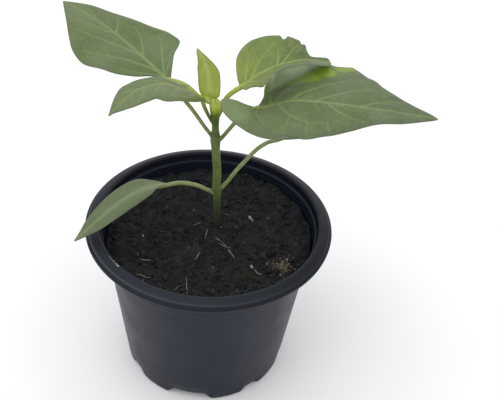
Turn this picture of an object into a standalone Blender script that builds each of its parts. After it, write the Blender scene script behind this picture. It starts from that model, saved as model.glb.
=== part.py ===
"""Potted pepper seedling: a nursery pot, its soil, one stem and seven leaves."""
import bmesh
import bpy
import numpy as np

MM = 0.001

# Pot, in millimetres. All other sizes were scaled from the rim.
RIM_RADIUS = 60.0
POT_HEIGHT = 90.0
FOOT_RADIUS = 43.2
FLOOR = 1.2
STEP_HEIGHT = 72.5
SEGMENTS = 72

# Notches around the foot, wide and narrow in turn, each the end of a groove under the floor.
NOTCHES = 8
FIRST_NOTCH = -100.0
WIDE_NOTCH = 16.5
WIDE_RISE = 3.9
NARROW_NOTCH = 8.5
NARROW_RISE = 2.6
NOTCH_RECESS = 0.3
NOTCH_REACH = 11.0
GROOVE_START = 15.0
GROOVE_END = 26.0
DRAIN_RADIUS = 3.2
DRAIN_AT = 34.0

# Soil and stem
GAP = 0.3
SOIL_LEVEL = 77.0
STEM_FOOT = (3.5, 7.0)
STEM_BOTTOM = 52.0
HOLE_RADIUS = 2.1

# The stem from the bottom of its hole to the growing point: x, y, z, radius
STEM = [
    (3.5, 7.0, 52.0, 1.7),
    (3.5, 7.0, 77.0, 1.7),
    (3.2, 7.0, 88.0, 1.8),
    (2.9, 7.0, 96.0, 1.95),
    (2.8, 7.0, 100.5, 2.3),
    (2.5, 7.0, 105.0, 2.0),
    (2.4, 7.0, 112.0, 2.0),
    (1.4, 6.9, 124.0, 1.95),
    (1.0, 6.8, 130.0, 2.3),
    (0.8, 6.8, 135.5, 1.6),
    (0.5, 6.9, 141.0, 1.9),
    (0.4, 7.0, 145.5, 2.5),
    (0.4, 6.8, 148.2, 2.6),
    (0.5, 6.6, 149.9, 1.8),
]

# Blades. "rib" is the midrib in space from the joint to the tip. "left" and "right" are the
# margins laid flat: distance along the midrib, then distance from it. "tail" leads the blade
# back past the joint where it has a lobe. "hollow" lists how far the left half is shifted along
# the midrib at a distance from it. Angles in degrees are given for base, middle, tip.
THICKNESS = 0.7
LEAVES = {
    "leaf_left_large": dict(
        rib=[(-20, 10, 156), (-33, 21, 162.5), (-46, 31, 168), (-59, 40, 172), (-71.5, 47, 175)],
        left=[(3, 1.5), (7, 4.2), (11.3, 10.2), (18.2, 15.7), (23.7, 18.4), (29.7, 20.8), (35.7, 21.5),
              (41.8, 20), (47.3, 16.6), (53.8, 11.8), (60.1, 6.2)],
        right=[(1.5, 2), (4.2, 5), (9.6, 11.2), (11.6, 15.5), (13.2, 18), (15, 18.2), (17.5, 17.8),
               (21.5, 17), (29.7, 13.6), (37.2, 10.7), (45.4, 7.9), (54.1, 5.6), (61, 2.8)],
        roll=(-15, -17, -15), fold_left=(12, 6, 4), fold_right=(12, 6, 4),
        curl_left=-0.6, curl_right=-0.6, wave=0.5, rows=26, cols=4,
        stalk=[(1.1, 6.8, 128.6), (-0.7, 7, 131.4), (-4.3, 7, 136.4), (-8.9, 8, 142.8), (-12.4, 8.5, 147.3),
               (-20, 10, 156)],
        stalk_radius=0.9),
    "leaf_right_large": dict(
        tail=(4.5, 5, 156.5),
        rib=[(18, -3, 153.5), (32.5, -9, 161), (48.5, -15, 164), (67.5, -22, 166), (87, -29, 167.5)],
        left=[(-1.4, 4.3), (-2.4, 8.4), (-2.9, 12.5), (-3, 17.5), (-2.2, 22.4), (3, 26), (11, 27.6), (19, 27),
              (27.6, 24.2), (33, 26.5), (36.3, 25.1), (39.9, 20.9), (44.5, 17.4), (48.5, 16.6), (52.4, 13.3),
              (59.5, 8.2), (65.5, 5.2), (72.6, 2.2)],
        hollow=[(0, 0), (4, 2.2), (7.5, 2.6), (13, -0.2), (18, -1), (26, 0)],
        right=[(-3.9, 0.4), (-7.2, 1.1), (-11.2, 2.2), (-14.4, 5.1), (-13.5, 7.1), (-10.9, 9.7),
               (-6, 11.5), (-1.4, 13.4), (2.1, 15.5), (6.5, 17.6), (15.4, 20.2), (25, 19.3), (33, 18.1),
               (37.8, 16.9), (44.2, 13), (54, 8.1), (64, 5.4), (73, 1.9)],
        roll=(17, 18, 15), fold_left=(6, 4, 4), fold_right=(6, 4, 4),
        curl_left=-0.7, curl_right=-0.8, wave=0.4, rows=38, cols=5,
        stalk=[(1.1, 6.8, 129.5), (3.5, 5.5, 131.5), (7, 3.5, 138), (9.5, 1.5, 143), (13.5, -1, 149), (18, -3, 153.5)],
        stalk_radius=1.0),
    "leaf_left_small": dict(
        rib=[(-5, 6, 151.5), (-12, 1, 157.5), (-22, -5, 163.5), (-32.5, -11, 162.5), (-42.5, -18, 155)],
        left=[(1, 2), (4, 5), (9.4, 8.5), (17.8, 11.3), (24.6, 12), (27.8, 11), (30.3, 8.7), (33.8, 8.4),
              (39.4, 6.7), (44, 3.9), (48.3, 0.9)],
        right=[(0.8, 0.8), (3.2, 2.5), (6.5, 6.3), (9.6, 8), (15.3, 7.6), (22, 6.3), (27.5, 6),
               (31.9, 6.7), (35.7, 6.9), (39.5, 7.2), (44.7, 4.4), (47.6, 2.3)],
        roll=(-12, -10, -8), fold_left=(15, 8, 4), fold_right=(12, 0, 0),
        curl_left=-1.0, curl_right=-2.0, wave=0.0, rows=22, cols=3,
        stalk=[(0.5, 6.8, 138), (-1.7, 6.4, 141), (-4, 6, 146), (-5.2, 6, 149.5), (-5, 6, 151.5)],
        stalk_radius=0.75),
    "leaf_right_upper": dict(
        rib=[(10.5, 7, 157), (18.5, 6, 164.5), (27.5, 6, 169.5), (37.5, 6.5, 172), (49, 8, 170.5)],
        left=[(0.1, 3.6), (0.3, 7.2), (1.2, 12.3), (2.8, 16.4), (6.2, 18.7), (10.5, 18.8), (15, 17.8),
              (18.3, 17), (21.8, 15.6), (23.6, 15), (24.3, 13), (25.4, 12.9), (26.5, 14), (29.1, 12.3),
              (30.8, 11), (31.2, 9.2), (32.8, 8.8), (33, 6.2), (33.6, 3.6), (35.2, 2.3), (39.6, 2.9),
              (42.3, 3)],
        right=[(1, 2), (3, 4.6), (5, 7.6), (8, 9.6), (11, 13.2), (13.8, 17.8), (15.8, 15.8), (18.2, 12.5), (21, 10.4),
               (24.5, 9), (28.5, 8.4), (33.6, 8.6), (37.5, 7.4), (41, 4.4)],
        roll=(0, 0, 0), fold_left=(34, 32, 15), fold_right=(-4, 22, 12),
        curl_left=-0.4, curl_right=-0.4, wave=0.0, rows=30, cols=3,
        stalk=[(0.6, 6.9, 141.5), (2.9, 7.2, 145.5), (4.2, 7.3, 150.2), (6.2, 7.3, 153.1), (8.3, 7.2, 155.2),
               (10.5, 7, 157)],
        stalk_radius=1.1),
    "leaf_young": dict(
        up=(0, -1, 0),
        rib=[(-2, 8.2, 151.1), (-2.5, 8.7, 156.5), (-3.5, 9.7, 162.5), (-6, 11, 168.5), (-8.5, 12, 172)],
        left=[(0.7, 2.1), (4.5, 4.9), (9, 4.9), (14, 4.1), (17.6, 2.6), (20.8, 1.5)],
        right=[(0.2, 3.2), (5, 4.8), (8.4, 5.1), (11.3, 5), (14, 4), (16.6, 2.6), (20, 1)],
        roll=(0, 0, 0), fold_left=(20, 15, 10), fold_right=(20, 15, 10),
        curl_left=0.5, curl_right=0.5, wave=0.0, rows=16, cols=3,
        stalk=[(0.2, 7.4, 148.4), (-0.6, 8.4, 149.6), (-2, 8.8, 151.1)],
        stalk_radius=1.2),
    "cotyledon_left": dict(
        rib=[(-17, 5.5, 104.5), (-26.5, 2, 105), (-35.5, -4, 105), (-46.5, -13, 101), (-61, -24, 91.5)],
        left=[(5, 0.9), (10, 2), (15, 5.4), (21.5, 7), (29, 7.1), (36, 6.7), (43.6, 5.6), (50.6, 2.9)],
        right=[(5, 1), (9.5, 4), (13.6, 7.3), (17, 8.4), (26, 8.4), (34, 7.6), (45.6, 5), (52, 2.1)],
        roll=(0, 0, 0), fold_left=(8, 4, 4), fold_right=(8, 4, 4),
        curl_left=-1.0, curl_right=-1.0, wave=0.0, rows=20, cols=3,
        stalk=[(2.9, 7, 98.5), (0.3, 6.9, 99.2), (-3, 6.6, 101), (-7, 6.4, 103), (-13, 6, 104.5), (-17, 5.5, 104.5)],
        stalk_radius=1.1),
    "cotyledon_right": dict(
        rib=[(25.8, 14.5, 124.4), (34, 18, 126), (43, 22, 128), (52.5, 26, 129.5), (63, 30, 130)],
        left=[(5, 1.2), (10, 4), (15, 6.8), (20, 7.6), (27, 7), (34, 4.4), (39, 1.8)],
        right=[(5, 1.2), (10, 4), (15, 6.4), (20, 7.2), (27, 6.6), (34, 4.2), (39, 1.8)],
        roll=(0, 0, 0), fold_left=(8, 4, 4), fold_right=(8, 4, 4),
        curl_left=-1.0, curl_right=-1.0, wave=0.0, rows=18, cols=3,
        stalk=[(2.8, 7, 100.5), (5.4, 7.2, 102.5), (8, 8, 105.5), (11, 9, 110), (16.6, 11, 116.9),
               (21.2, 12.9, 121.6), (25.8, 14.5, 124.4)],
        stalk_radius=0.95),
}


def clear_scene():
    """Start from an empty scene."""
    for thing in list(bpy.data.objects):
        bpy.data.objects.remove(thing, do_unlink=True)


def make_material(name, colour, roughness):
    """One Principled material."""
    material = bpy.data.materials.new(name)
    material.use_nodes = True
    shader = material.node_tree.nodes["Principled BSDF"]
    shader.inputs["Base Color"].default_value = (*colour, 1.0)
    shader.inputs["Roughness"].default_value = roughness
    return material


def add_object(name, points, faces, material=None):
    """A mesh object from points in millimetres."""
    mesh = bpy.data.meshes.new(name)
    mesh.from_pydata([tuple(float(c) * MM for c in p) for p in points], [], [list(f) for f in faces])
    shell = bmesh.new()
    shell.from_mesh(mesh)
    bmesh.ops.recalc_face_normals(shell, faces=shell.faces)
    shell.to_mesh(mesh)
    shell.free()
    thing = bpy.data.objects.new(name, mesh)
    bpy.context.scene.collection.objects.link(thing)
    if material:
        mesh.materials.append(material)
    return thing


def combine(thing, other, operation):
    """Apply an exact boolean and remove the second object."""
    step = thing.modifiers.new(operation.lower(), "BOOLEAN")
    step.operation = operation
    step.solver = "EXACT"
    step.object = other
    bpy.context.view_layer.update()
    graph = bpy.context.evaluated_depsgraph_get()
    mesh = bpy.data.meshes.new_from_object(thing.evaluated_get(graph))
    thing.modifiers.clear()
    thing.data = mesh
    bpy.data.objects.remove(other, do_unlink=True)


def smooth_shading(thing, angle=35):
    """Round pieces shade smooth, with hard edges kept."""
    thing.data.shade_smooth()
    thing.data.set_sharp_from_angle(angle=np.radians(angle))


def smoothstep(x):
    x = np.clip(x, 0, 1)
    return x * x * (3 - 2 * x)


def spin(profile, bend):
    """Turn a profile of radius and height around Z. It starts and ends on the axis.

    The quads are split the same way going up and coming down, so nested walls never meet."""
    angles = np.radians(FIRST_NOTCH) + np.arange(SEGMENTS) * 2 * np.pi / SEGMENTS
    points = [(0, 0, profile[0][1])]
    for radius, height in profile[1:-1]:
        for angle in angles:
            r, z = bend(radius, height, angle)
            points.append((r * np.cos(angle), r * np.sin(angle), z))
    points.append((0, 0, profile[-1][1]))
    last = len(points) - 1
    rings = len(profile) - 2
    faces = []
    for k in range(SEGMENTS):
        n = (k + 1) % SEGMENTS
        faces.append((0, 1 + n, 1 + k))
        for ring in range(rings - 1):
            a = 1 + ring * SEGMENTS
            b = a + SEGMENTS
            outward = profile[ring + 2][::-1] > profile[ring + 1][::-1]
            if outward:
                faces += [(a + k, a + n, b + n), (a + k, b + n, b + k)]
            else:
                faces += [(a + k, a + n, b + k), (a + n, b + n, b + k)]
        top = 1 + (rings - 1) * SEGMENTS
        faces.append((top + k, top + n, last))
    return points, faces


def notch_bend(radius, height, angle):
    """Lift and draw in the foot at each notch, fading out up the wall and towards the middle."""
    steps = (np.degrees(angle) - FIRST_NOTCH) * NOTCHES / 360.0
    number = np.round(steps)
    off = abs(steps - number) * 360.0 / NOTCHES
    wide = number % 2 == 0
    depth = smoothstep((np.where(wide, WIDE_NOTCH, NARROW_NOTCH) - off) / 6.0)
    depth = depth * smoothstep((radius - GROOVE_START) / (GROOVE_END - GROOVE_START))
    fade = np.clip((NOTCH_REACH - height) / (NOTCH_REACH - FLOOR), 0, 1)
    lift = np.where(wide, WIDE_RISE, NARROW_RISE) * depth * fade
    recess = NOTCH_RECESS * depth * smoothstep(fade) * smoothstep((radius - 35.0) / 6.0)
    return radius - recess, height + lift


def tube(path, radii, sides=8):
    """A closed round bar along a path."""
    path = np.asarray(path, float)
    tangents = np.gradient(path, axis=0)
    tangents /= np.linalg.norm(tangents, axis=1)[:, None]
    points = []
    across = np.cross(tangents[0], (0.0, 1.0, 0.01))
    for centre, tangent, radius in zip(path, tangents, radii):
        across = across - tangent * np.dot(across, tangent)
        across /= np.linalg.norm(across)
        other = np.cross(tangent, across)
        for k in range(sides):
            angle = 2 * np.pi * (k + 0.5) / sides
            points.append(centre + radius * (across * np.cos(angle) + other * np.sin(angle)))
    faces = [tuple(range(sides - 1, -1, -1))]
    for ring in range(len(path) - 1):
        a = ring * sides
        for k in range(sides):
            n = (k + 1) % sides
            faces.append((a + k, a + n, a + sides + n, a + sides + k))
    faces.append(tuple((len(path) - 1) * sides + k for k in range(sides)))
    return points, faces


def smooth_path(points, steps):
    """A smooth line through the given points."""
    p = np.asarray(points, float)
    p = np.vstack([2 * p[0] - p[1], p, 2 * p[-1] - p[-2]])
    out = []
    for i in range(1, len(p) - 2):
        a, b, c, d = p[i - 1:i + 3]
        t = np.linspace(0, 1, steps, endpoint=False)[:, None]
        out.append(0.5 * (2 * b + (c - a) * t + (2 * a - 5 * b + 4 * c - d) * t ** 2
                          + (3 * b - a - 3 * c + d) * t ** 3))
    out.append(p[-2][None])
    return np.vstack(out)


def arc_length(path):
    step = np.linalg.norm(np.diff(path, axis=0), axis=1)
    return np.concatenate([[0], np.cumsum(step)])


def rib_line(leaf):
    """The midrib, its distance from the joint and its direction."""
    points = list(leaf["rib"])
    steps = 24
    if "tail" in leaf:
        points = [leaf["tail"]] + points
    path = smooth_path(points, steps)
    arc = arc_length(path)
    if "tail" in leaf:
        arc = arc - arc[steps]
    tangent = np.gradient(path, arc, axis=0)
    return path, arc, tangent / np.linalg.norm(tangent, axis=1)[:, None]


def blade_point(leaf, s, t):
    """Carry flat blade coordinates into space: s along the midrib, t across it."""
    path, arc, tangent = rib_line(leaf)
    length = arc[-1]
    near = np.clip(s, arc[0], length)
    position = np.stack([np.interp(near, arc, path[:, i]) for i in range(3)], -1)
    along = np.stack([np.interp(near, arc, tangent[:, i]) for i in range(3)], -1)
    along /= np.linalg.norm(along, axis=-1)[..., None]
    position = position + along * (s - near)[..., None]
    side = np.cross(np.asarray(leaf.get("up", (0, 0, 1)), float), along)
    side /= np.linalg.norm(side, axis=-1)[..., None]
    normal = np.cross(along, side)
    f = np.clip(s / length, 0, 1)
    stops = (0, 0.5, 1)
    left = t >= 0
    roll = np.radians(np.interp(f, stops, leaf["roll"]))[..., None]
    side, normal = (side * np.cos(roll) + normal * np.sin(roll),
                    normal * np.cos(roll) - side * np.sin(roll))
    fold = np.where(left, np.interp(f, stops, leaf["fold_left"]), np.interp(f, stops, leaf["fold_right"]))
    curl = np.radians(np.where(left, leaf["curl_left"], leaf["curl_right"]))
    width = np.abs(t)
    fold = np.radians(fold) * width / (width + 0.8)
    half = curl * width / 2
    chord = width * np.sinc(half / np.pi)
    x = chord * np.cos(fold + half)
    z = chord * np.sin(fold + half)
    z = z + leaf["wave"] * (width / 12) ** 2 * np.sin(s / 3.0 + np.where(left, 0, 1.9))
    x = np.where(left, x, -x)
    return position + side * x[..., None] + normal * z[..., None]


def margin_line(points, length):
    """One flat margin, with the place on the midrib that each of its points is joined to."""
    flat = smooth_path([(0.0, 0.0)] + list(points) + [(length, 0.0)], 12)
    arc = arc_length(flat)
    lead = np.maximum.accumulate(np.maximum(flat[:, 0] - 0.45 * flat[:, 1], 0))
    lead = lead + 0.08 * length * arc / arc[-1]
    return flat, arc, lead * length / lead[-1]


def pull_base(leaf, s, t):
    """Shift the base of the left half along the midrib, so that its lobe hangs over a hollow."""
    line = smooth_path(leaf["hollow"], 8)
    shift = np.interp(t, line[:, 0], line[:, 1], left=0.0, right=0.0)
    return s + shift * (1 - smoothstep((s - 2.0) / 12.0))


def blade_grid(leaf, rows, cols):
    """Rows of flat points from the left margin over the midrib to the right margin."""
    length = rib_line(leaf)[1][-1]
    margins = [margin_line(leaf[k], length) for k in ("left", "right")]
    r = np.linspace(0, length, 2000)
    measure = r + sum(np.interp(r, lead, arc) for flat, arc, lead in margins)
    r = np.interp(np.linspace(0, measure[-1], rows), measure, r)
    s = np.zeros((rows, 2 * cols + 1))
    t = np.zeros((rows, 2 * cols + 1))
    for sign, (flat, arc, lead) in zip((1, -1), margins):
        at = np.interp(r, lead, arc)
        edge_s = np.interp(at, arc, flat[:, 0])
        edge_t = np.interp(at, arc, flat[:, 1])
        for j in range(cols + 1):
            v = j / cols
            column = cols - sign * j
            s[:, column] = (1 - v) * r + v * edge_s
            t[:, column] = sign * v * edge_t
    if "hollow" in leaf:
        s = pull_base(leaf, s, t)
    return s, t


def blade_normal(leaf, s, t, reach=0.2):
    """Unit normal of the blade surface."""
    ahead = blade_point(leaf, s + reach, t) - blade_point(leaf, s - reach, t)
    beside = blade_point(leaf, s, t + reach) - blade_point(leaf, s, t - reach)
    normal = np.cross(ahead, beside)
    return normal / np.linalg.norm(normal, axis=-1)[..., None]


def blade_mesh(leaf):
    """A thin closed blade, split into triangles alike on both faces."""
    rows, cols = leaf["rows"], 2 * leaf["cols"] + 1
    s, t = blade_grid(leaf, rows, leaf["cols"])
    middle = blade_point(leaf, s, t)
    offset = blade_normal(leaf, s, t) * THICKNESS / 2
    points = []
    index = {}
    for face, sheet in enumerate((middle + offset, middle - offset)):
        for i in range(rows):
            for j in range(cols):
                pole = i in (0, rows - 1)
                key = (face, i, cols // 2 if pole else j)
                if key not in index:
                    index[key] = len(points)
                    points.append(sheet[i, cols // 2] if pole else sheet[i, j])
                index[(face, i, j)] = index[key]
    triangles = []
    for i in range(rows - 1):
        for j in range(cols - 1):
            a, b, c, d = (i, j), (i, j + 1), (i + 1, j + 1), (i + 1, j)
            for three in ((a, b, c), (a, c, d)):
                top = [index[(0, *p)] for p in three]
                bottom = [index[(1, *p)] for p in three]
                if len(set(top)) == 3:
                    triangles.append(top)
                    triangles.append(bottom[::-1])
    for j, step in ((0, 1), (cols - 1, -1)):
        for i in range(rows - 1):
            a, b = index[(0, i, j)], index[(0, i + 1, j)]
            c, d = index[(1, i + 1, j)], index[(1, i, j)]
            quad = [a, b, c, d][::step]
            triangles.append([quad[0], quad[1], quad[2]])
            triangles.append([quad[0], quad[2], quad[3]])
    return points, triangles


def stem_line():
    """Points along the stem with their radius, ending in a rounded tip."""
    line = smooth_path(STEM, 2)
    tip = line[-1] + np.array([[-0.1, 0, 0.6, -0.6], [-0.15, 0, 1.0, -1.4]])
    return np.vstack([line, tip])


def stalk_path(leaf):
    """The stalk from the stem to the joint, then on as a ridge under the midrib."""
    stalk = smooth_path(leaf["stalk"], 2)[:-1]
    radii = [leaf["stalk_radius"]] * len(stalk)
    length = rib_line(leaf)[1][-1]
    s = np.linspace(0.0, 0.8 * length, 7)
    rib = blade_point(leaf, s, np.zeros(7))
    normal = blade_normal(leaf, s, np.zeros(7))
    taper = np.linspace(leaf["stalk_radius"], 0.45, 7)
    ridge = rib - normal * (taper * 0.55)[:, None]
    return np.vstack([stalk, ridge]), np.concatenate([radii, taper])


def build_leaf(name, leaf, material):
    """One leaf: its blade fused with its stalk, which is hollowed to sit around the stem."""
    points, triangles = blade_mesh(leaf)
    blade = add_object(name, points, triangles, material)
    path, radii = stalk_path(leaf)
    stalk = add_object(name + "_stalk", *tube(path, radii), material)
    line = stem_line()
    seat = add_object(name + "_seat", *tube(line[:, :3], line[:, 3] + GAP, 12))
    combine(stalk, seat, "DIFFERENCE")
    combine(blade, stalk, "UNION")
    smooth_shading(blade, 50)
    return blade


def pot_profile():
    """Outside from the middle of the floor up, over the rim, and down the inside."""
    outside = [
        (0, 0), (GROOVE_START - 1, 0), (20, 0), (GROOVE_END, 0), (35, 0), (FOOT_RADIUS - 1.2, 0),
        (FOOT_RADIUS - 0.1, 1.2), (FOOT_RADIUS + 0.3, 5), (FOOT_RADIUS + 0.9, NOTCH_REACH),
        (50.3, STEP_HEIGHT), (52.1, STEP_HEIGHT + 1.0), (53.4, 87.3), (58.9, 86.9), (59.2, 86.0),
        (59.8, 86.1), (RIM_RADIUS, 87.3)]
    inside = [
        (59.5, 88.1), (54.3, POT_HEIGHT), (53.3, 89.6), (52.7, 85.6), (51.9, 85.0), (51.1, 74.0),
        (49.2, 72.4), (FOOT_RADIUS - 0.15, NOTCH_REACH), (FOOT_RADIUS - 0.7, 5), (FOOT_RADIUS - 1.2, 2.2),
        (FOOT_RADIUS - 2.2, FLOOR), (35, FLOOR), (GROOVE_END, FLOOR), (20, FLOOR),
        (GROOVE_START - 1, FLOOR), (0, FLOOR)]
    return outside + inside


def build_pot(material):
    """The thin-walled pot with a drain hole in each groove."""
    pot = add_object("pot", *spin(pot_profile(), notch_bend), material)
    cutters = []
    for k in range(NOTCHES):
        angle = np.radians(FIRST_NOTCH + k * 360.0 / NOTCHES)
        x, y = DRAIN_AT * np.cos(angle), DRAIN_AT * np.sin(angle)
        cutters.append(add_object("drain", *tube([(x, y, -2), (x, y, 12)], [DRAIN_RADIUS] * 2, 12)))
    for cutter in cutters:
        combine(pot, cutter, "DIFFERENCE")
    smooth_shading(pot, 28)
    return pot


def soil_top(x, y):
    """Height of the uneven soil."""
    mound = 1.6 * np.exp(-((x - STEM_FOOT[0]) ** 2 + (y - STEM_FOOT[1]) ** 2) / 300.0)
    lumps = 0.7 * np.sin(x / 6.1 + 0.8) * np.cos(y / 5.3 + 0.4) + 0.5 * np.sin(x / 3.7 - y / 4.9)
    return SOIL_LEVEL + mound + lumps - 0.8


def build_soil(material):
    """Soil filling the pot to just below the ledge, with a plain hole for the stem."""
    profile = [
        (0, FLOOR + GAP), (GROOVE_START - 1, FLOOR + GAP), (20, FLOOR + GAP), (GROOVE_END, FLOOR + GAP),
        (35, FLOOR + GAP), (FOOT_RADIUS - 2.4, FLOOR + GAP), (FOOT_RADIUS - 1.5, 2.4),
        (FOOT_RADIUS - 1.05, 5.1), (FOOT_RADIUS - 0.5, NOTCH_REACH), (48.85, 72.4), (50.75, 74.2),
        (50.9, SOIL_LEVEL - 0.9)]
    profile += [(r, SOIL_LEVEL) for r in (46, 40, 33, 26, 19, 12, 6)]
    profile.append((0, SOIL_LEVEL))
    points, faces = spin(profile, notch_bend)
    flat = []
    for x, y, z in points:
        if z >= SOIL_LEVEL - 0.1:
            z = soil_top(x, y)
        flat.append((x, y, z))
    soil = add_object("soil", flat, faces, material)
    x, y = STEM_FOOT
    hole = add_object("hole", *tube([(x, y, STEM_BOTTOM - GAP), (x, y, 90)], [HOLE_RADIUS] * 2, 16))
    combine(soil, hole, "DIFFERENCE")
    smooth_shading(soil, 60)
    return soil


def build_stem(material):
    """The stem with its two swollen nodes and its rounded growing point."""
    line = stem_line()
    stem = add_object("stem", *tube(line[:, :3], line[:, 3], 12), material)
    smooth_shading(stem, 50)
    return stem


def main():
    clear_scene()
    black = make_material("black_plastic", (0.035, 0.038, 0.05), 0.45)
    peat = make_material("dark_soil", (0.012, 0.011, 0.012), 0.95)
    green = make_material("stem_green", (0.10, 0.17, 0.05), 0.5)
    leaf_green = make_material("leaf_green", (0.15, 0.24, 0.10), 0.45)
    young_green = make_material("young_leaf_green", (0.35, 0.42, 0.10), 0.45)
    build_pot(black)
    build_soil(peat)
    build_stem(green)
    for name, leaf in LEAVES.items():
        build_leaf(name, leaf, young_green if name == "leaf_young" else leaf_green)


main()
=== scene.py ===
"""Looks of the potted pepper seedling: veined leaves, stem, crumbly soil and a black pot.

Lengths are in millimetres until a mesh is made. The leaves follow the midribs and margins of
the solids with many more points, and lie within about a millimetre of them."""

import bmesh
import bpy
import numpy as np
from mathutils import Matrix, Vector, noise


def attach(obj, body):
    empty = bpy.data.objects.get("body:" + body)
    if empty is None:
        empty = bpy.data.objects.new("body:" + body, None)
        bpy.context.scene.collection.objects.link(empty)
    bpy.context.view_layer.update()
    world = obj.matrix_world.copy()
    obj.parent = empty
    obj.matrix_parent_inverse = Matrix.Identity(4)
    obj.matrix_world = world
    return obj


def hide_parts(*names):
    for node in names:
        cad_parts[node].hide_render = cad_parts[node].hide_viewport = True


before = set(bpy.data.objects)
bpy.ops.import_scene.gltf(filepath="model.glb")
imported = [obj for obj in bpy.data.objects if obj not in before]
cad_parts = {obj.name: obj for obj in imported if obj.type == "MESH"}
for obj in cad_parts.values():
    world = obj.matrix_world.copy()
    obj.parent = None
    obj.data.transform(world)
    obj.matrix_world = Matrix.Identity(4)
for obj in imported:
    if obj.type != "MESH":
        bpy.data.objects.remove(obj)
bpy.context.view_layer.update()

MM = 0.001
SEED = 11

# Pot
RIM_RADIUS = 60.0
POT_HEIGHT = 90.0
POT_SIDES = 368
FOOT_RADIUS = 43.2
FLOOR_THICKNESS = 1.2
STEP_HEIGHT = 72.5
NOTCHES = 8
FIRST_NOTCH = -100.0
WIDE_NOTCH = 16.5
WIDE_RISE = 3.9
NARROW_NOTCH = 8.5
NARROW_RISE = 2.6
NOTCH_RECESS = 0.3
NOTCH_REACH = 11.0
GROOVE_START = 15.0
GROOVE_END = 26.0
DRAIN_RADIUS = 3.2
DRAIN_AT = 34.0

# Soil and stem
SOIL_LEVEL = 77.0
SOIL_EDGE = 50.8
SCATTER_EDGE = SOIL_EDGE - 1.6
BIT_EDGE = SOIL_EDGE - 1.8
FIBRE_EDGE = SOIL_EDGE - 1.5
STEM_FOOT = (3.5, 7.0)
SOIL_SIDES = 440
SOIL_RING_STEP = 0.44
WALL_RADIUS = 50.85
WALL_SLOPE = 0.07
WALL_START = 74.0
MOUND_HEIGHT = 1.6
MOUND_SPREAD = 300.0
BANK_START = 35.0
BANK_WIDTH = 15.0
BANK_HEIGHT = 2.2
BANK_EXTRA_BEHIND = 2.6
RIM_CREST = 54.5

# Leaf surfaces
BLADE_SPACING = 0.42
BLADE_THICKNESS = 0.5
ROW_STEP = 2.2
TIP_ROUNDING = 0.45
FOLD_REACH = 0.8
WAVE_WIDTH = 12.0
WAVE_STEP = 3.0
STALK_FLARE = 0.5
STALK_SIDES = 20
BRANCH_SPACING = 5.0
FINE_VEIN = 0.17
SWELLING = 0.42
VEIN_GROOVE = 0.24
MIDRIB_GROOVE = 0.10
VEIN_RIDGE = 0.45
VEIN_SHOWN = 0.85
FINE_VEIN_SHOWN = 0.22

# How light spreads inside leaves and stems
TISSUE_RADIUS = (0.5, 1.0, 0.2)
TISSUE_SCALE = 0.8 * MM

# The stem from below the soil to the growing point: x, y, z, radius
STEM = [
    (3.5, 7.0, 70.0, 1.7),
    (3.5, 7.0, 77.0, 1.75),
    (3.2, 7.0, 88.0, 1.8),
    (2.9, 7.0, 96.0, 1.95),
    (2.8, 7.0, 100.5, 2.3),
    (2.5, 7.0, 105.0, 2.0),
    (2.4, 7.0, 112.0, 2.0),
    (1.4, 6.9, 124.0, 1.95),
    (1.0, 6.8, 130.0, 2.3),
    (0.8, 6.8, 135.5, 1.6),
    (0.5, 6.9, 141.0, 1.9),
    (0.4, 7.0, 145.5, 2.5),
    (0.4, 6.8, 148.2, 2.6),
    (0.5, 6.6, 149.9, 1.8),
]

# What a leaf has where its own list says nothing else
PLAIN_LEAF = dict(up=(0, 0, 1), tail=(), hollow=(), roll=(0, 0, 0), wave=0.0, midrib=0.62, veins=(),
                  fresh=(), pale=())

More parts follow.
